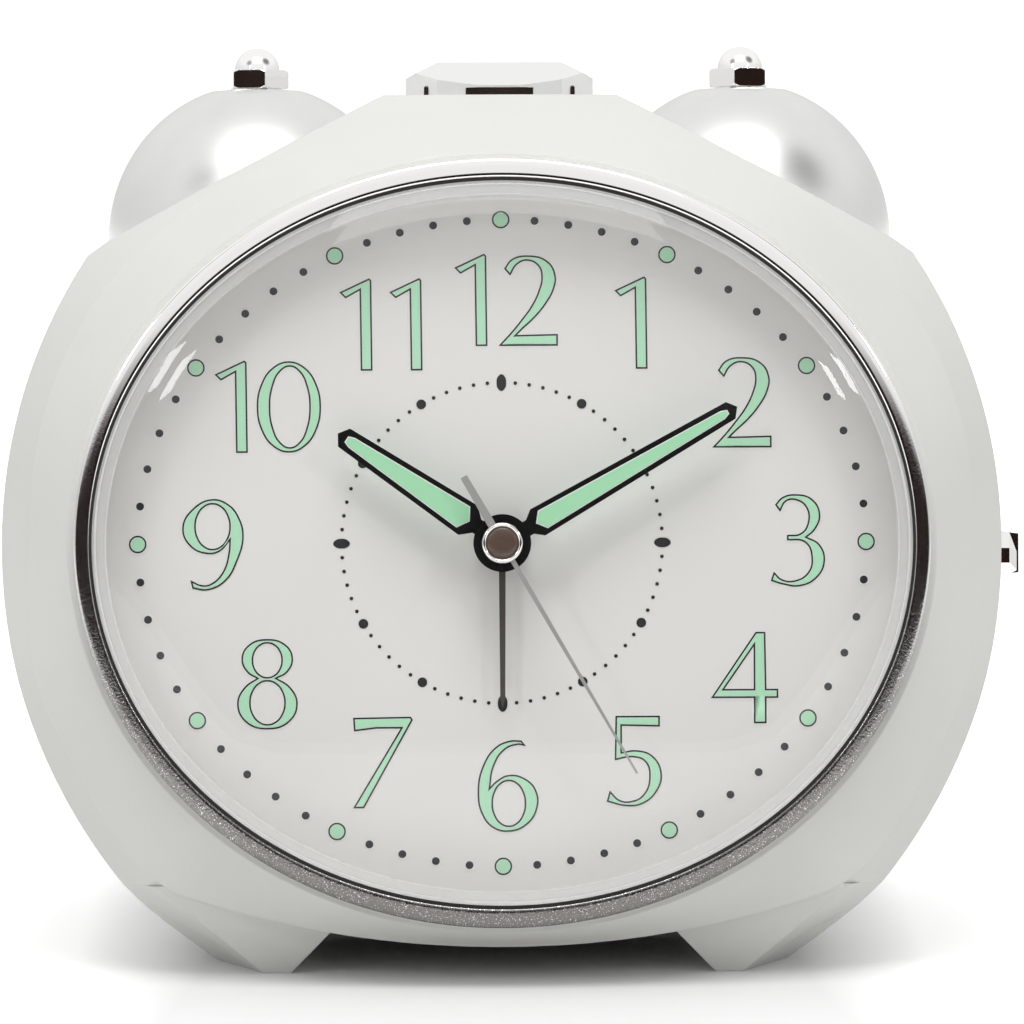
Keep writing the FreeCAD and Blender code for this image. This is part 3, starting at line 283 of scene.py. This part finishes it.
finishes = {
    "pearl_plastic": pearlPlastic(),
    "bezel_chrome": brightChrome("brightChrome", softEdge=0.12),
    "lens_clear": clearLens(),
    "dial_print": dialCard(),
    "bell_metal": satinBell(),
    "button_metal": satinTop(),
    "steel": plainFinish("plainSteel", (190, 190, 192), 0.32, metallic=1.0, grain=0.5),
    "movement_plastic": plainFinish("movementBlack", (34, 34, 36), 0.5, grain=0.4, depth=0.01),
    "gear_plastic": plainFinish("gearWhite", (228, 227, 220), 0.45, grain=0.4),
    "knob_plastic": plainFinish("knobBlack", (30, 30, 31), 0.42, depth=0.01, softEdge=0.2),
    "copper": plainFinish("copperWire", (190, 104, 58), 0.3, metallic=1.0, grain=0.2),
    "contact_brass": plainFinish("contactBrass", (210, 178, 108), 0.3, metallic=1.0, grain=0.4),
    "board": plainFinish("boardGreen", (48, 92, 56), 0.5, grain=0.6),
    "component": plainFinish("chipBlack", (26, 26, 27), 0.5),
    "crystal_can": plainFinish("crystalCan", (196, 196, 196), 0.2, metallic=1.0),
    "cell": plainFinish("cellSleeve", (70, 72, 78), 0.35, grain=0.4, coat=0.4),
    "hand_black": plainFinish("handBlack", (14, 14, 15), 0.45, grain=0.2, depth=0.002, softEdge=0.08, shine=0.15),
    "hand_lume": plainFinish("handLume", (176, 236, 194), 0.6, grain=0.15),
    "hand_silver": plainFinish("handSilver", (186, 186, 185), 0.3, metallic=0.5, grain=0.2, depth=0.001),
    "hand_dark": plainFinish("handDark", (84, 80, 74), 0.4, grain=0.2, depth=0.002, shine=0.3),
    "cap_dark": plainFinish("capDark", (92, 74, 65), 0.3, grain=0.5, depth=0.001, coat=0.2),
}
print("finishes made:", len(finishes))


def dress(thing, slot):
    # gives a piece the finish of one of the record's slots
    thing.data.materials.clear()
    thing.data.materials.append(finishes[slot].material)


for entry in frame["record"]["subparts"]:
    dress(nodes[entry["node"]], entry["material_slot"])
print("nodes dressed:", len(nodes))


def placed(name, data):
    # a new object in the scene
    thing = bpy.data.objects.new(name, data)
    bpy.context.scene.collection.objects.link(thing)
    return thing


def addPiece(name, mesh, body, slot, finish=None, instead=()):
    # instead names the CAD nodes that the piece is shown in place of
    piece = placed(name, mesh)
    mesh.materials.clear()
    mesh.materials.append((finish or finishes[slot]).material)
    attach(piece, body)
    if instead:
        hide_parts(*instead)


def stripMesh(name, rows, closed=True, capped=False, smooth=True):
    # a skin over rows of points; closed joins the last row to the first, capped fills in between the rows'
    # first points
    mesh = bpy.data.meshes.new(name)
    across = len(rows[0])
    points = [point for row in rows for point in row]
    faces = []
    for row in range(len(rows) if closed else len(rows) - 1):
        onward = (row + 1) % len(rows)
        for step in range(across - 1):
            faces.append((row * across + step, row * across + step + 1,
                          onward * across + step + 1, onward * across + step))
    if capped:
        faces.append([row * across for row in range(len(rows))])
    mesh.from_pydata(points, [], faces)
    mesh.polygons.foreach_set("use_smooth", [smooth] * len(mesh.polygons))
    return mesh


def ovalMesh(name, profile, count=288, capped=False):
    # turns a profile of (half width, half height, depth) round the hands' axis as an oval
    rows = []
    for step in range(count):
        turn = 2 * math.pi * step / count
        rows.append([onDial(wide * math.cos(turn), depth, high * math.sin(turn)) for wide, high, depth in profile])
    return stripMesh(name, rows, capped=capped)


def turnedMesh(name, x, y, profile, count=96):
    # turns a profile of (radius, height) round the upright axis at (x, y)
    rows = []
    for step in range(count):
        turn = 2 * math.pi * step / count
        rows.append([onDial(x + radius * math.cos(turn), y + radius * math.sin(turn), height)
                     for radius, height in profile])
    return stripMesh(name, rows)


# Bezel: a plated ring with a soft outer edge, and a near-black sheet in the groove between it and the lens, which is
# a painted shadow.
# Each profile step is how far it lies in from the ring's outer edge, and its depth, in mm
bezel = {"outer": (51.1, 45.9), "inner": (49.0, 43.3),
         "profile": [(0.0, -5.5), (0.0, -7.3), (0.02, -7.6), (0.07, -7.83), (0.15, -7.99), (0.26, -8.07),
                     (0.4, -8.11), (0.9, -8.155), (1.4, -8.2), (1.7, -8.22), (1.8, -8.19), (1.86, -8.1),
                     (1.88, -7.9)],
         "groove": [(1.86, -7.9), (2.2, -7.9)]}


def ovalProfile(steps):
    # the oval gets narrower faster in height than in width, as the inner edge is flatter than the outer
    ratio = (bezel["outer"][1] - bezel["inner"][1]) / (bezel["outer"][0] - bezel["inner"][0])
    return [(bezel["outer"][0] - inward, bezel["outer"][1] - inward * ratio, depth) for inward, depth in steps]


# the bezel's chrome is pitted towards its foot and darker there, which is painted shade for the dim reflection of the
# shaded floor
addPiece("bezelSkin", ovalMesh("bezelSkin", ovalProfile(bezel["profile"])), "case", "bezel_chrome",
         finish=brightChrome("pittedShadedChrome", pittingAndShade=1.0), instead=["bezel_ring"])
# painted shadow: a near-black sheet standing for the shadow in the gap between bezel and lens
addPiece("bezelGroove", ovalMesh("bezelGroove", ovalProfile(bezel["groove"])), "case", "bezel_chrome",
         finish=plainFinish("grooveShadow", (22, 19, 18), 0.6))

# Lens: a nearly flat crown with a rounder shoulder, 1.5 mm thick, and pale rings at its moulded edge, which are
# painted highlights and painted sheen for the light that edge reflects and bends
lens = {"half": (48.85, 43.15), "wall": 1.5, "front": -11.6, "shoulder": 0.85, "drop": 1.2, "edge": -8.4,
        "base": -7.3, "steps": 16, "rimLightColour": (236, 236, 236)}
# the painted light of its edge, two bright lines with a paler band between: from where to where in from the outline,
# how deep, and how much of what is behind they hide
lensRims = {"lensRimLine": ("rimHighlight", (0.2, 0.42), -7.7, 0.75), "lensRimVeil": ("rimSheen", (0.42, 1.5), -7.5, 0.3),
            "lensInnerLine": ("rimInnerHighlight", (1.5, 1.66), -7.2, 0.7)}


def crownLine(wide, high, front, edge, base):
    # the lens's section from its middle to its edge: a shallow arc, a tighter arc, an upright wall
    start = lens["shoulder"] * wide
    low = front + lens["drop"]
    slope = math.atan(2 * lens["drop"] / start)
    lean = 2 * math.atan((edge - low) / (wide - start)) - slope
    bend = (wide - start) / (math.sin(lean) - math.sin(slope))
    steps = lens["steps"]
    line = [(start * part / steps, front + lens["drop"] * (part / steps) ** 2) for part in range(1, steps)]
    for part in range(steps + 1):
        angle = slope + (lean - slope) * part / steps
        line.append((start + bend * (math.sin(angle) - math.sin(slope)),
                     low + bend * (math.cos(slope) - math.cos(angle))))
    line.append((wide, base))
    return [(across, across * high / wide, depth) for across, depth in line]


def rimRing(name, reach, depth, finish):
    wide, high = lens["half"]
    profile = [(wide - inward, high - inward, depth) for inward in reach]
    addPiece(name, ovalMesh(name, profile), "case", "lens_clear", finish=finish)


def rimFinish(name, cover):
    # painted light on the lens's edge as seen through the lens: some of it pale, the rest clear; the pale part stands
    # in for the edge's highlights and sheen
    finish = Finish(name, Roughness=0.5, Base_Color=paint(*lens["rimLightColour"]), Alpha=cover)
    return finish.bump(finish.noise(3), 0.01)


wall = lens["wall"]
outside = crownLine(*lens["half"], lens["front"], lens["edge"], lens["base"])
inside = crownLine(lens["half"][0] - wall, lens["half"][1] - wall, lens["front"] + wall, lens["edge"] + wall,
                   lens["base"] + wall)
addPiece("lensFront", ovalMesh("lensFront", outside, capped=True), "case", "lens_clear", instead=["lens"])
addPiece("lensBack", ovalMesh("lensBack", inside, capped=True), "case", "lens_clear")
# the edge's rings: painted highlights and painted sheen
for name, (look, reach, depth, cover) in lensRims.items():
    rimRing(name, reach, depth, rimFinish(look, cover))
print("bezel and lens made")

# Bells: turned shells with a rolled rim, and a soft edge round the flat under the nut
bell = {"x": 29.8, "y": 29.0, "radius": 18.45, "equator": 37.4, "rise": 19.4, "wall": 1.0, "rim": 36.4,
        "hole": 2.1, "flatRadius": 3.6, "flat": 55.8, "blend": 0.2, "rollWide": 0.5, "rollHigh": 0.35}


def bellProfile():
    def height(radius, shrink=0.0):
        return bell["equator"] + (bell["rise"] - shrink) * math.sqrt(1 - (radius / (bell["radius"] - shrink)) ** 2)
    outer = [(bell["hole"], bell["flat"]), (bell["flatRadius"], bell["flat"])]
    for step in range(1, 40):
        angle = math.pi / 2 * step / 40
        radius = bell["radius"] * math.sin(angle)
        if radius > bell["flatRadius"]:
            # a soft blend from the flat to the dome
            over = height(radius) - bell["flat"]
            outer.append((radius, bell["flat"] + (over if over < 0 else over * bell["blend"])))
    wide, high = bell["rollWide"], bell["rollHigh"]
    outer += [(bell["radius"], bell["equator"]), (bell["radius"], bell["rim"] + high)]
    rolled = [(bell["radius"] - wide + wide * math.cos(turn), bell["rim"] + high - high * math.sin(turn))
              for turn in (math.pi * step / 8 for step in range(1, 9))]
    inner = [(radius, height(radius, bell["wall"])) for radius in
             ((bell["radius"] - bell["wall"]) * math.sin(math.pi / 2 * step / 20) for step in range(19, 0, -1))
             if radius > bell["hole"]]
    return outer + rolled + inner


for side, node in ((-1, "bell_left"), (1, "bell_right")):
    addPiece(node + "Skin", turnedMesh(node + "Skin", side * bell["x"], bell["y"], bellProfile()), "case",
             "bell_metal", instead=[node])
print("bells made")

# Snooze button: the polished plates that show in its window and its slots
snoozeWindow = {"bow": ((-4.1, 12.78), (-2.4, 12.6), (2.4, 12.6), (4.1, 12.78)), "z": (53.9, 55.35),
                "slotX": (8.63, 9.17), "slotY": 14.2, "slotZ": (53.9, 55.5)}
snoozeRows = [[onDial(x, y, z) for z in snoozeWindow["z"]] for x, y in snoozeWindow["bow"]]
polished = brightChrome("polishedPlate")
for side, name in ((-1, "snoozeSlotLeft"), (1, "snoozeSlotRight")):
    slotRows = [[onDial(side * x, snoozeWindow["slotY"], z) for z in snoozeWindow["slotZ"]]
                for x in snoozeWindow["slotX"]]
    addPiece(name, stripMesh(name, slotRows, closed=False, smooth=False), "snooze", "button_metal", polished)
addPiece("snoozeWindow", stripMesh("snoozeWindow", snoozeRows, closed=False, smooth=False), "snooze", "button_metal",
         finish=polished)

# Alarm switch: the plated face of its thumb piece, with a facet above and below and a bevelled end
switchFace = {"across": (60.6, 61.7, 62.6), "z": (1.1, -0.85, -2.65, -4.0), "front": 11.8, "edge": 12.05,
              "end": 12.28, "endInset": 0.45}


def switchRows():
    middle = (switchFace["z"][0] + switchFace["z"][-1]) / 2
    rows = []
    for place, x in enumerate(switchFace["across"]):
        row = []
        for step, z in enumerate(switchFace["z"]):
            if place == 2:
                row.append(onDial(x, switchFace["end"], z + (switchFace["endInset"] if z < middle else
                                                             -switchFace["endInset"])))
            else:
                row.append(onDial(x, switchFace["front"] if step in (1, 2) else switchFace["edge"], z))
        rows.append(row)
    return rows


addPiece("switchFace", stripMesh("switchFace", switchRows(), closed=False, smooth=False), "switch", "button_metal",
         finish=polished)

# Hands' middle: a rounded rim on the second hand's boss, and the domed cap in it
handMiddle = {"rim": ((2.43, -7.5), (2.43, -7.86), (2.38, -7.98), (2.28, -8.06), (2.16, -8.08), (2.04, -8.04),
                      (1.96, -7.95), (1.93, -7.8)),
              "cap": ((0.3, -8.12), (0.8, -8.115), (1.3, -8.09), (1.6, -8.05), (1.8, -7.98), (1.88, -7.88),
                      (1.9, -7.7))}
addPiece("bossRim", ovalMesh("bossRim", [(r, r, depth) for r, depth in handMiddle["rim"]], count=72), "seconds",
         "hand_silver", finish=polished)
addPiece("capDome", ovalMesh("capDome", [(r, r, depth) for r, depth in handMiddle["cap"]], count=72, capped=True),
         "seconds", "cap_dark", instead=["centre_cap"])
print("small bright parts made")

# Print on the dial: each colour is one flat sheet, a hair above the one below it
dialPrint = {"halo": 0.03, "line": 0.06, "pale": 0.08, "fill": 0.1, "haloWidth": 0.22, "lineOut": 0.06,
             "lineIn": 0.14, "paleIn": 0.2, "numeralHeight": 10.85}
inks = {
    "halo": plainFinish("inkWhite", (246, 246, 246), 0.5, grain=0.2, depth=0.001),
    "line": plainFinish("inkBlack", (24, 30, 27), 0.5, grain=0.2, depth=0.001),
    "pale": plainFinish("inkPale", (222, 240, 228), 0.5, grain=0.2, depth=0.001),
    "fill": plainFinish("inkGreen", (192, 243, 209), 0.5, grain=0.2, depth=0.001),
}


def ellipsePoints(x, z, halfWide, halfHigh, count=12):
    return [(x + halfWide * math.cos(2 * math.pi * i / count), z + halfHigh * math.sin(2 * math.pi * i / count))
            for i in range(count)]


# Digits on a grid 100 high; a third value marks a sharp corner
digits = {
    "0": [ellipsePoints(35, 50, 35, 50), ellipsePoints(36, 50, 22, 45)],
    "1": [[(0, 86, 1), (6, 80, 1), (22, 89, 1), (23, 0, 1), (35, 0, 1), (34, 99, 1), (32, 101, 1)]],
    "2": [[(0, 0, 1), (64, 0, 1), (64, 12, 1), (18, 11, 1), (25, 18), (39, 31), (52, 47), (60, 62), (62, 77),
           (53, 93), (31, 99), (14, 95), (6, 85, 1), (12, 78, 1), (20, 90), (32, 94), (44, 87), (47, 75), (44, 61),
           (36, 44), (26, 30), (13, 14)]],
    "3": [[(5, 90, 1), (13, 98), (27, 101), (45, 96), (54, 79), (48, 62), (39, 54, 1), (53, 46), (59, 28), (50, 9),
           (31, 0), (13, 2), (0, 6, 1), (3, 15, 1), (12, 7), (27, 6), (41, 15), (45, 30), (38, 48), (18, 51, 1),
           (18, 56, 1), (33, 58), (41, 70), (39, 87), (28, 95), (17, 94), (10, 83, 1)]],
    "4": [[(0, 28, 1), (49, 100, 1), (59, 100, 1), (60, 37, 1), (73, 37, 1), (73, 28, 1), (60, 28, 1), (60, 0, 1),
           (47, 0, 1), (47, 28, 1)], [(13, 37, 1), (47, 86, 1), (47, 37, 1)]],
    "5": [[(10, 99, 1), (58, 99, 1), (58, 88, 1), (16, 89, 1), (16, 59, 1), (33, 61), (50, 55), (60, 36), (54, 15),
           (38, 2), (21, 0), (0, 5, 1), (3, 16, 1), (14, 6), (27, 5), (40, 12), (47, 32), (42, 49), (29, 54),
           (9, 51, 1)]],
    "6": [[(52, 94, 1), (48, 99, 1), (36, 99), (20, 92), (6, 72), (0, 42), (5, 17), (17, 3), (34, -1), (53, 6),
           (65, 24), (64, 44), (52, 57), (34, 61), (20, 54), (13, 47, 1), (17, 70), (29, 89), (44, 95)],
          ellipsePoints(34, 30, 18, 25)],
    "7": [[(0, 99, 1), (63, 100, 1), (65, 97, 1), (11, 0, 1), (0, 0, 1), (53, 88, 1), (25, 88, 1), (1, 85, 1)]],
    "8": [[(33, 99), (53, 93), (61, 78), (55, 63), (43, 56, 1), (58, 46), (66, 28), (57, 8), (33, 0), (9, 8), (0, 28),
           (8, 46), (22, 56, 1), (11, 63), (5, 78), (13, 93)], ellipsePoints(33, 76, 16, 19),
          ellipsePoints(33, 29, 19, 24)],
    "9": [[(33, 101), (12, 91), (0, 70), (8, 50), (28, 41), (41, 44), (52, 56, 1), (51, 42), (44, 20), (30, 7),
           (21, 6), (9, 11, 1), (11, 3, 1), (27, 1), (47, 11), (60, 33), (67, 61), (62, 81), (51, 95)],
          ellipsePoints(33, 71, 19, 25)],
}
# where each number's lower left corner stands, and how far its second digit is set off
numbers = {
    "12": (-5.5, 23.7, 5.3), "1": (13.7, 20.9, 0), "2": (25.4, 11.4, 0), "3": (32.3, -5.3, 0), "4": (25.1, -21.7, 0),
    "5": (12.5, -31.6, 0), "6": (-3.0, -34.5, 0), "7": (-17.9, -31.7, 0), "8": (-31.8, -22.2, 0),
    "9": (-38.3, -5.6, 0), "10": (-34.3, 11.0, 5.0), "11": (-19.3, 20.8, 6.0),
}


def printSheet(name, outlines, level, spread, finish, body="case", slot="dial_print"):
    # outlines are closed loops in dial millimetres; level is how far the sheet lies in front of the dial,
    # and spread grows or shrinks the loops
    curve = bpy.data.curves.new(name, "CURVE")
    curve.dimensions = "2D"
    curve.fill_mode = "BOTH"
    curve.resolution_u = 6
    curve.offset = spread
    for outline in outlines:
        spline = curve.splines.new("BEZIER")
        spline.bezier_points.add(len(outline) - 1)
        spline.use_cyclic_u = True
        for knot, (x, z, *corner) in zip(spline.bezier_points, outline):
            knot.co = (x, z, 0)
            kind = "VECTOR" if corner else "AUTO"
            knot.handle_left_type = kind
            knot.handle_right_type = kind
    drawn = placed(name, curve)
    mesh = bpy.data.meshes.new_from_object(drawn.evaluated_get(bpy.context.evaluated_depsgraph_get()))
    bpy.data.objects.remove(drawn)
    for vertex in mesh.vertices:
        vertex.co = onDial(vertex.co.x, -level, vertex.co.y)
    mesh.update()
    if mesh.polygons[0].normal.dot(dialBack) > 0:
        mesh.flip_normals()
    addPiece(name, mesh, body, slot, finish=finish)


def numberOutlines():
    scale = dialPrint["numeralHeight"] / 100
    for word, (left, low, gap) in numbers.items():
        for place, digit in enumerate(word):
            for loop in digits[digit]:
                yield [(left + gap * place + x * scale, low + z * scale, *corner) for x, z, *corner in loop]


numberLoops = list(numberOutlines())
printSheet("numberHalo", numberLoops, dialPrint["halo"], dialPrint["haloWidth"], inks["halo"])
printSheet("numberLine", numberLoops, dialPrint["line"], dialPrint["lineOut"], inks["line"])
printSheet("numberPale", numberLoops, dialPrint["pale"], -dialPrint["lineIn"], inks["pale"])
printSheet("numberFill", numberLoops, dialPrint["fill"], -dialPrint["paleIn"], inks["fill"])
print("numbers printed")

track = {"hourHalf": (43.7, 38.8), "hourDot": 1.05, "minuteDot": 0.47, "line": 0.19, "pale": 0.26, "halo": 0.18,
         "alarmRadius": 19.25, "alarmMarks": 72, "ovalLong": 1.0, "ovalWide": 0.58, "roundDot": 0.58,
         "smallDot": 0.22}


def dot(x, z, radius):
    return ellipsePoints(x, z, radius, radius, 8)


def clockPlace(halfWide, halfHigh, minutes):
    # where a clock hand's line meets the oval
    turn = math.radians(minutes * 6)
    reach = 1 / math.hypot(math.sin(turn) / halfWide, math.cos(turn) / halfHigh)
    return reach * math.sin(turn), reach * math.cos(turn)


def alarmMark(step):
    # an oval at each quarter, a round dot at the other hours, small dots between
    x, z = clockPlace(track["alarmRadius"], track["alarmRadius"], step * 60 / track["alarmMarks"])
    hour, part = divmod(step, 6)
    if part:
        return dot(x, z, track["smallDot"])
    if hour % 3:
        return dot(x, z, track["roundDot"])
    along, across = track["ovalLong"], track["ovalWide"]
    return ellipsePoints(x, z, across, along, 8) if hour % 6 == 0 else ellipsePoints(x, z, along, across, 8)


def trackPrint():
    hours = [clockPlace(*track["hourHalf"], minute) for minute in range(0, 60, 5)]
    minutes = [clockPlace(*track["hourHalf"], minute) for minute in range(60) if minute % 5]
    halo = [dot(x, z, track["hourDot"] + track["halo"]) for x, z in hours]
    halo += [dot(x, z, track["minuteDot"] + track["halo"]) for x, z in minutes]
    lines = [dot(x, z, track["hourDot"]) for x, z in hours] + [dot(x, z, track["minuteDot"]) for x, z in minutes]
    printSheet("trackHalo", halo, dialPrint["halo"], 0, inks["halo"])
    lines += [alarmMark(step) for step in range(track["alarmMarks"])]
    printSheet("trackLine", lines, dialPrint["line"], 0, inks["line"])
    for ink, border in (("pale", track["line"]), ("fill", track["pale"])):
        printSheet("track" + ink.title(), [dot(x, z, track["hourDot"] - border) for x, z in hours], dialPrint[ink], 0,
                   inks[ink])


trackPrint()
print("track printed")

# The pale edge of the luminous paint, which runs out a little over each hand's black
lumeEdge = {"minutes": {"angle": 60.1, "length": 32.4, "shoulder": 1.8, "tip": 1.15, "front": 6.05},
            "hours": {"angle": 303.9, "length": 23.6, "shoulder": 2.1, "tip": 1.3, "front": 4.65},
            "border": 0.72, "from": 4.8, "widest": 5.65, "tipFrom": 2.0, "tipTo": 1.35, "tipNarrower": 0.25,
            "spread": 0.12}


def lumeOutline(hand):
    border = lumeEdge["border"]
    tip = hand["tip"] - border
    side = [(0.0, lumeEdge["from"]), (hand["shoulder"] - border, lumeEdge["widest"]),
            (tip, hand["length"] - lumeEdge["tipFrom"]),
            (tip - lumeEdge["tipNarrower"], hand["length"] - lumeEdge["tipTo"])]
    turn = math.radians(hand["angle"])
    return [(x * math.cos(turn) + z * math.sin(turn), z * math.cos(turn) - x * math.sin(turn), 1)
            for x, z in side + [(-x, z) for x, z in side[:0:-1]]]


for body in ("minutes", "hours"):
    printSheet(body + "LumeEdge", [lumeOutline(lumeEdge[body])], lumeEdge[body]["front"], lumeEdge["spread"],
               inks["halo"], body=body, slot="hand_lume")

# Camera: nearly square to the dial from 1 m, with the photograph's framing as a small shift
shot = {"distance": 1.0, "pixelsPerMetre": 8334, "frame": 1024, "middle": (502, 543), "roll": 0.24, "leftOf": 0.36}


def setCamera():
    data = bpy.data.cameras.new("camera")
    camera = placed("camera", data)
    bpy.context.scene.camera = camera
    data.lens = data.sensor_width * shot["distance"] * shot["pixelsPerMetre"] / shot["frame"]
    data.shift_x = (shot["frame"] / 2 - shot["middle"][0]) / shot["frame"]
    data.shift_y = (shot["middle"][1] - shot["frame"] / 2) / shot["frame"]
    aside = Matrix.Rotation(math.radians(-shot["leftOf"]), 3, dialUp)
    roll = Matrix.Rotation(math.radians(shot["roll"]), 3, dialBack)
    camera.location = dialMiddle - aside @ dialBack * shot["distance"]
    camera.rotation_euler = (aside @ roll @ Matrix((dialRight, dialUp, -dialBack)).transposed()).to_euler()
    data.clip_start = 0.01


setCamera()

# Studio: white all round, but metal reflects a dark brownish room behind the camera, a greyer horizon and two
# dark things high up, each given as a direction, how near to it the dark starts and is full, and how dark it is
# the floor's glows below are painted light and shade: none near the clock, which darkens its shadow, and more beside
# it, which lightens the shadow there
studio = {"floorHalf": 3.0, "floor": (230, 230, 230), "middleGlow": 0.3, "farGlow": 0.68, "besideGlow": 0.5,
          "near": 0.022, "middle": 0.1, "far": 0.45, "beside": (0.034, 0.052), "surround": 0.46,
          "room": (40, 28, 23), "roomWide": (0.66, 0.74), "roomHigh": (0.165, 0.23), "horizon": 0.7,
          "horizonHigh": (-0.2, 0.5),
          "darkThings": [((0.657, -0.282, 0.7), 0.94, 0.99, 0.75), ((-0.6, -0.48, 0.64), 0.965, 0.995, 0.6)]}


def studioFloor():
    mesh = bpy.data.meshes.new("floor")
    half = studio["floorHalf"]
    mesh.from_pydata([(-half, -half, 0), (half, -half, 0), (half, half, 0), (-half, half, 0)], [], [(0, 1, 2, 3)])
    floor = placed("floor", mesh)
    finish = Finish("paleFloor", Roughness=0.9, Specular_IOR_Level=0.0, Base_Color=paint(*studio["floor"]),
                    Emission_Strength=1.0)
    # away from the clock the floor glows a little as well, so that it looks white to the horizon; held back near the
    # clock, the glow paints the shadow there darker, and raised beside it, it paints light into the shadow there
    away = finish.node("VectorMath", {"operation": "LENGTH"}, out="Value", **{"0": finish.place()})
    beside = finish.along(dialRight, finish.place()).size().between(*studio["beside"])
    glow = away.between(studio["near"], studio["middle"]) * studio["middleGlow"] | beside * studio["besideGlow"]
    glow = glow + away.between(studio["middle"], studio["far"]) * (studio["farGlow"] - studio["middleGlow"])
    glow = glow * finish.shown()
    finish.set(Emission_Color=finish.node("CombineColor", Red=glow, Green=glow, Blue=glow))
    mesh.materials.append(finish.material)


def studioWorld():
    world = bpy.data.worlds.new("studio")
    bpy.context.scene.world = world
    world.use_nodes = True
    world.node_tree.nodes.clear()
    sky = Nodes(world.node_tree)
    way = sky.node("TexCoord")
    ahead = sky.along(-dialBack, way).between(*studio["roomWide"])
    low = 1 - sky.along((0, 0, 1), way).between(*studio["roomHigh"])
    glossy = sky.ray("Glossy")
    room = ahead * low * glossy
    grey = (1 - sky.along((0, 0, 1), way).between(*studio["horizonHigh"])) * (1 - studio["horizon"])
    for direction, start, full, depth in studio["darkThings"]:
        grey = grey | sky.along(direction, way).between(start, full) * depth
    shown = sky.shown()
    output = world.node_tree.nodes.new("ShaderNodeOutputWorld")
    sky.feed(sky.node("Background", Color=sky.mix(room, (1, 1, 1, 1), paint(*studio["room"])),
                      Strength=shown * (1 - studio["surround"]) - grey * glossy + studio["surround"]),
             output.inputs["Surface"])


# each lamp's place and size in metres, and its power in watts; all of them are aimed at one point of the clock
lamps = {"leftLamp": ((-0.52, -0.62, 0.46), (0.08, 0.1), 0.55), "rightLamp": ((0.54, -0.6, 0.44), (0.06, 0.08), 0.4),
         "topLamp": ((0.0, -0.4, 0.9), (0.6, 0.5), 5.0)}
lampsAim = Vector((0, 0, 0.05))


def softLamp(name, place, size, power):
    data = bpy.data.lights.new(name, "AREA")
    data.shape = "RECTANGLE"
    data.size, data.size_y = size
    data.energy = power
    lamp = placed(name, data)
    lamp.location = place
    lamp.rotation_euler = (lampsAim - Vector(place)).to_track_quat("-Z", "Y").to_euler()


studioFloor()
studioWorld()
for name, (place, size, power) in lamps.items():
    softLamp(name, place, size, power)
print("studio set")

bpy.context.scene.view_settings.view_transform = "Standard"
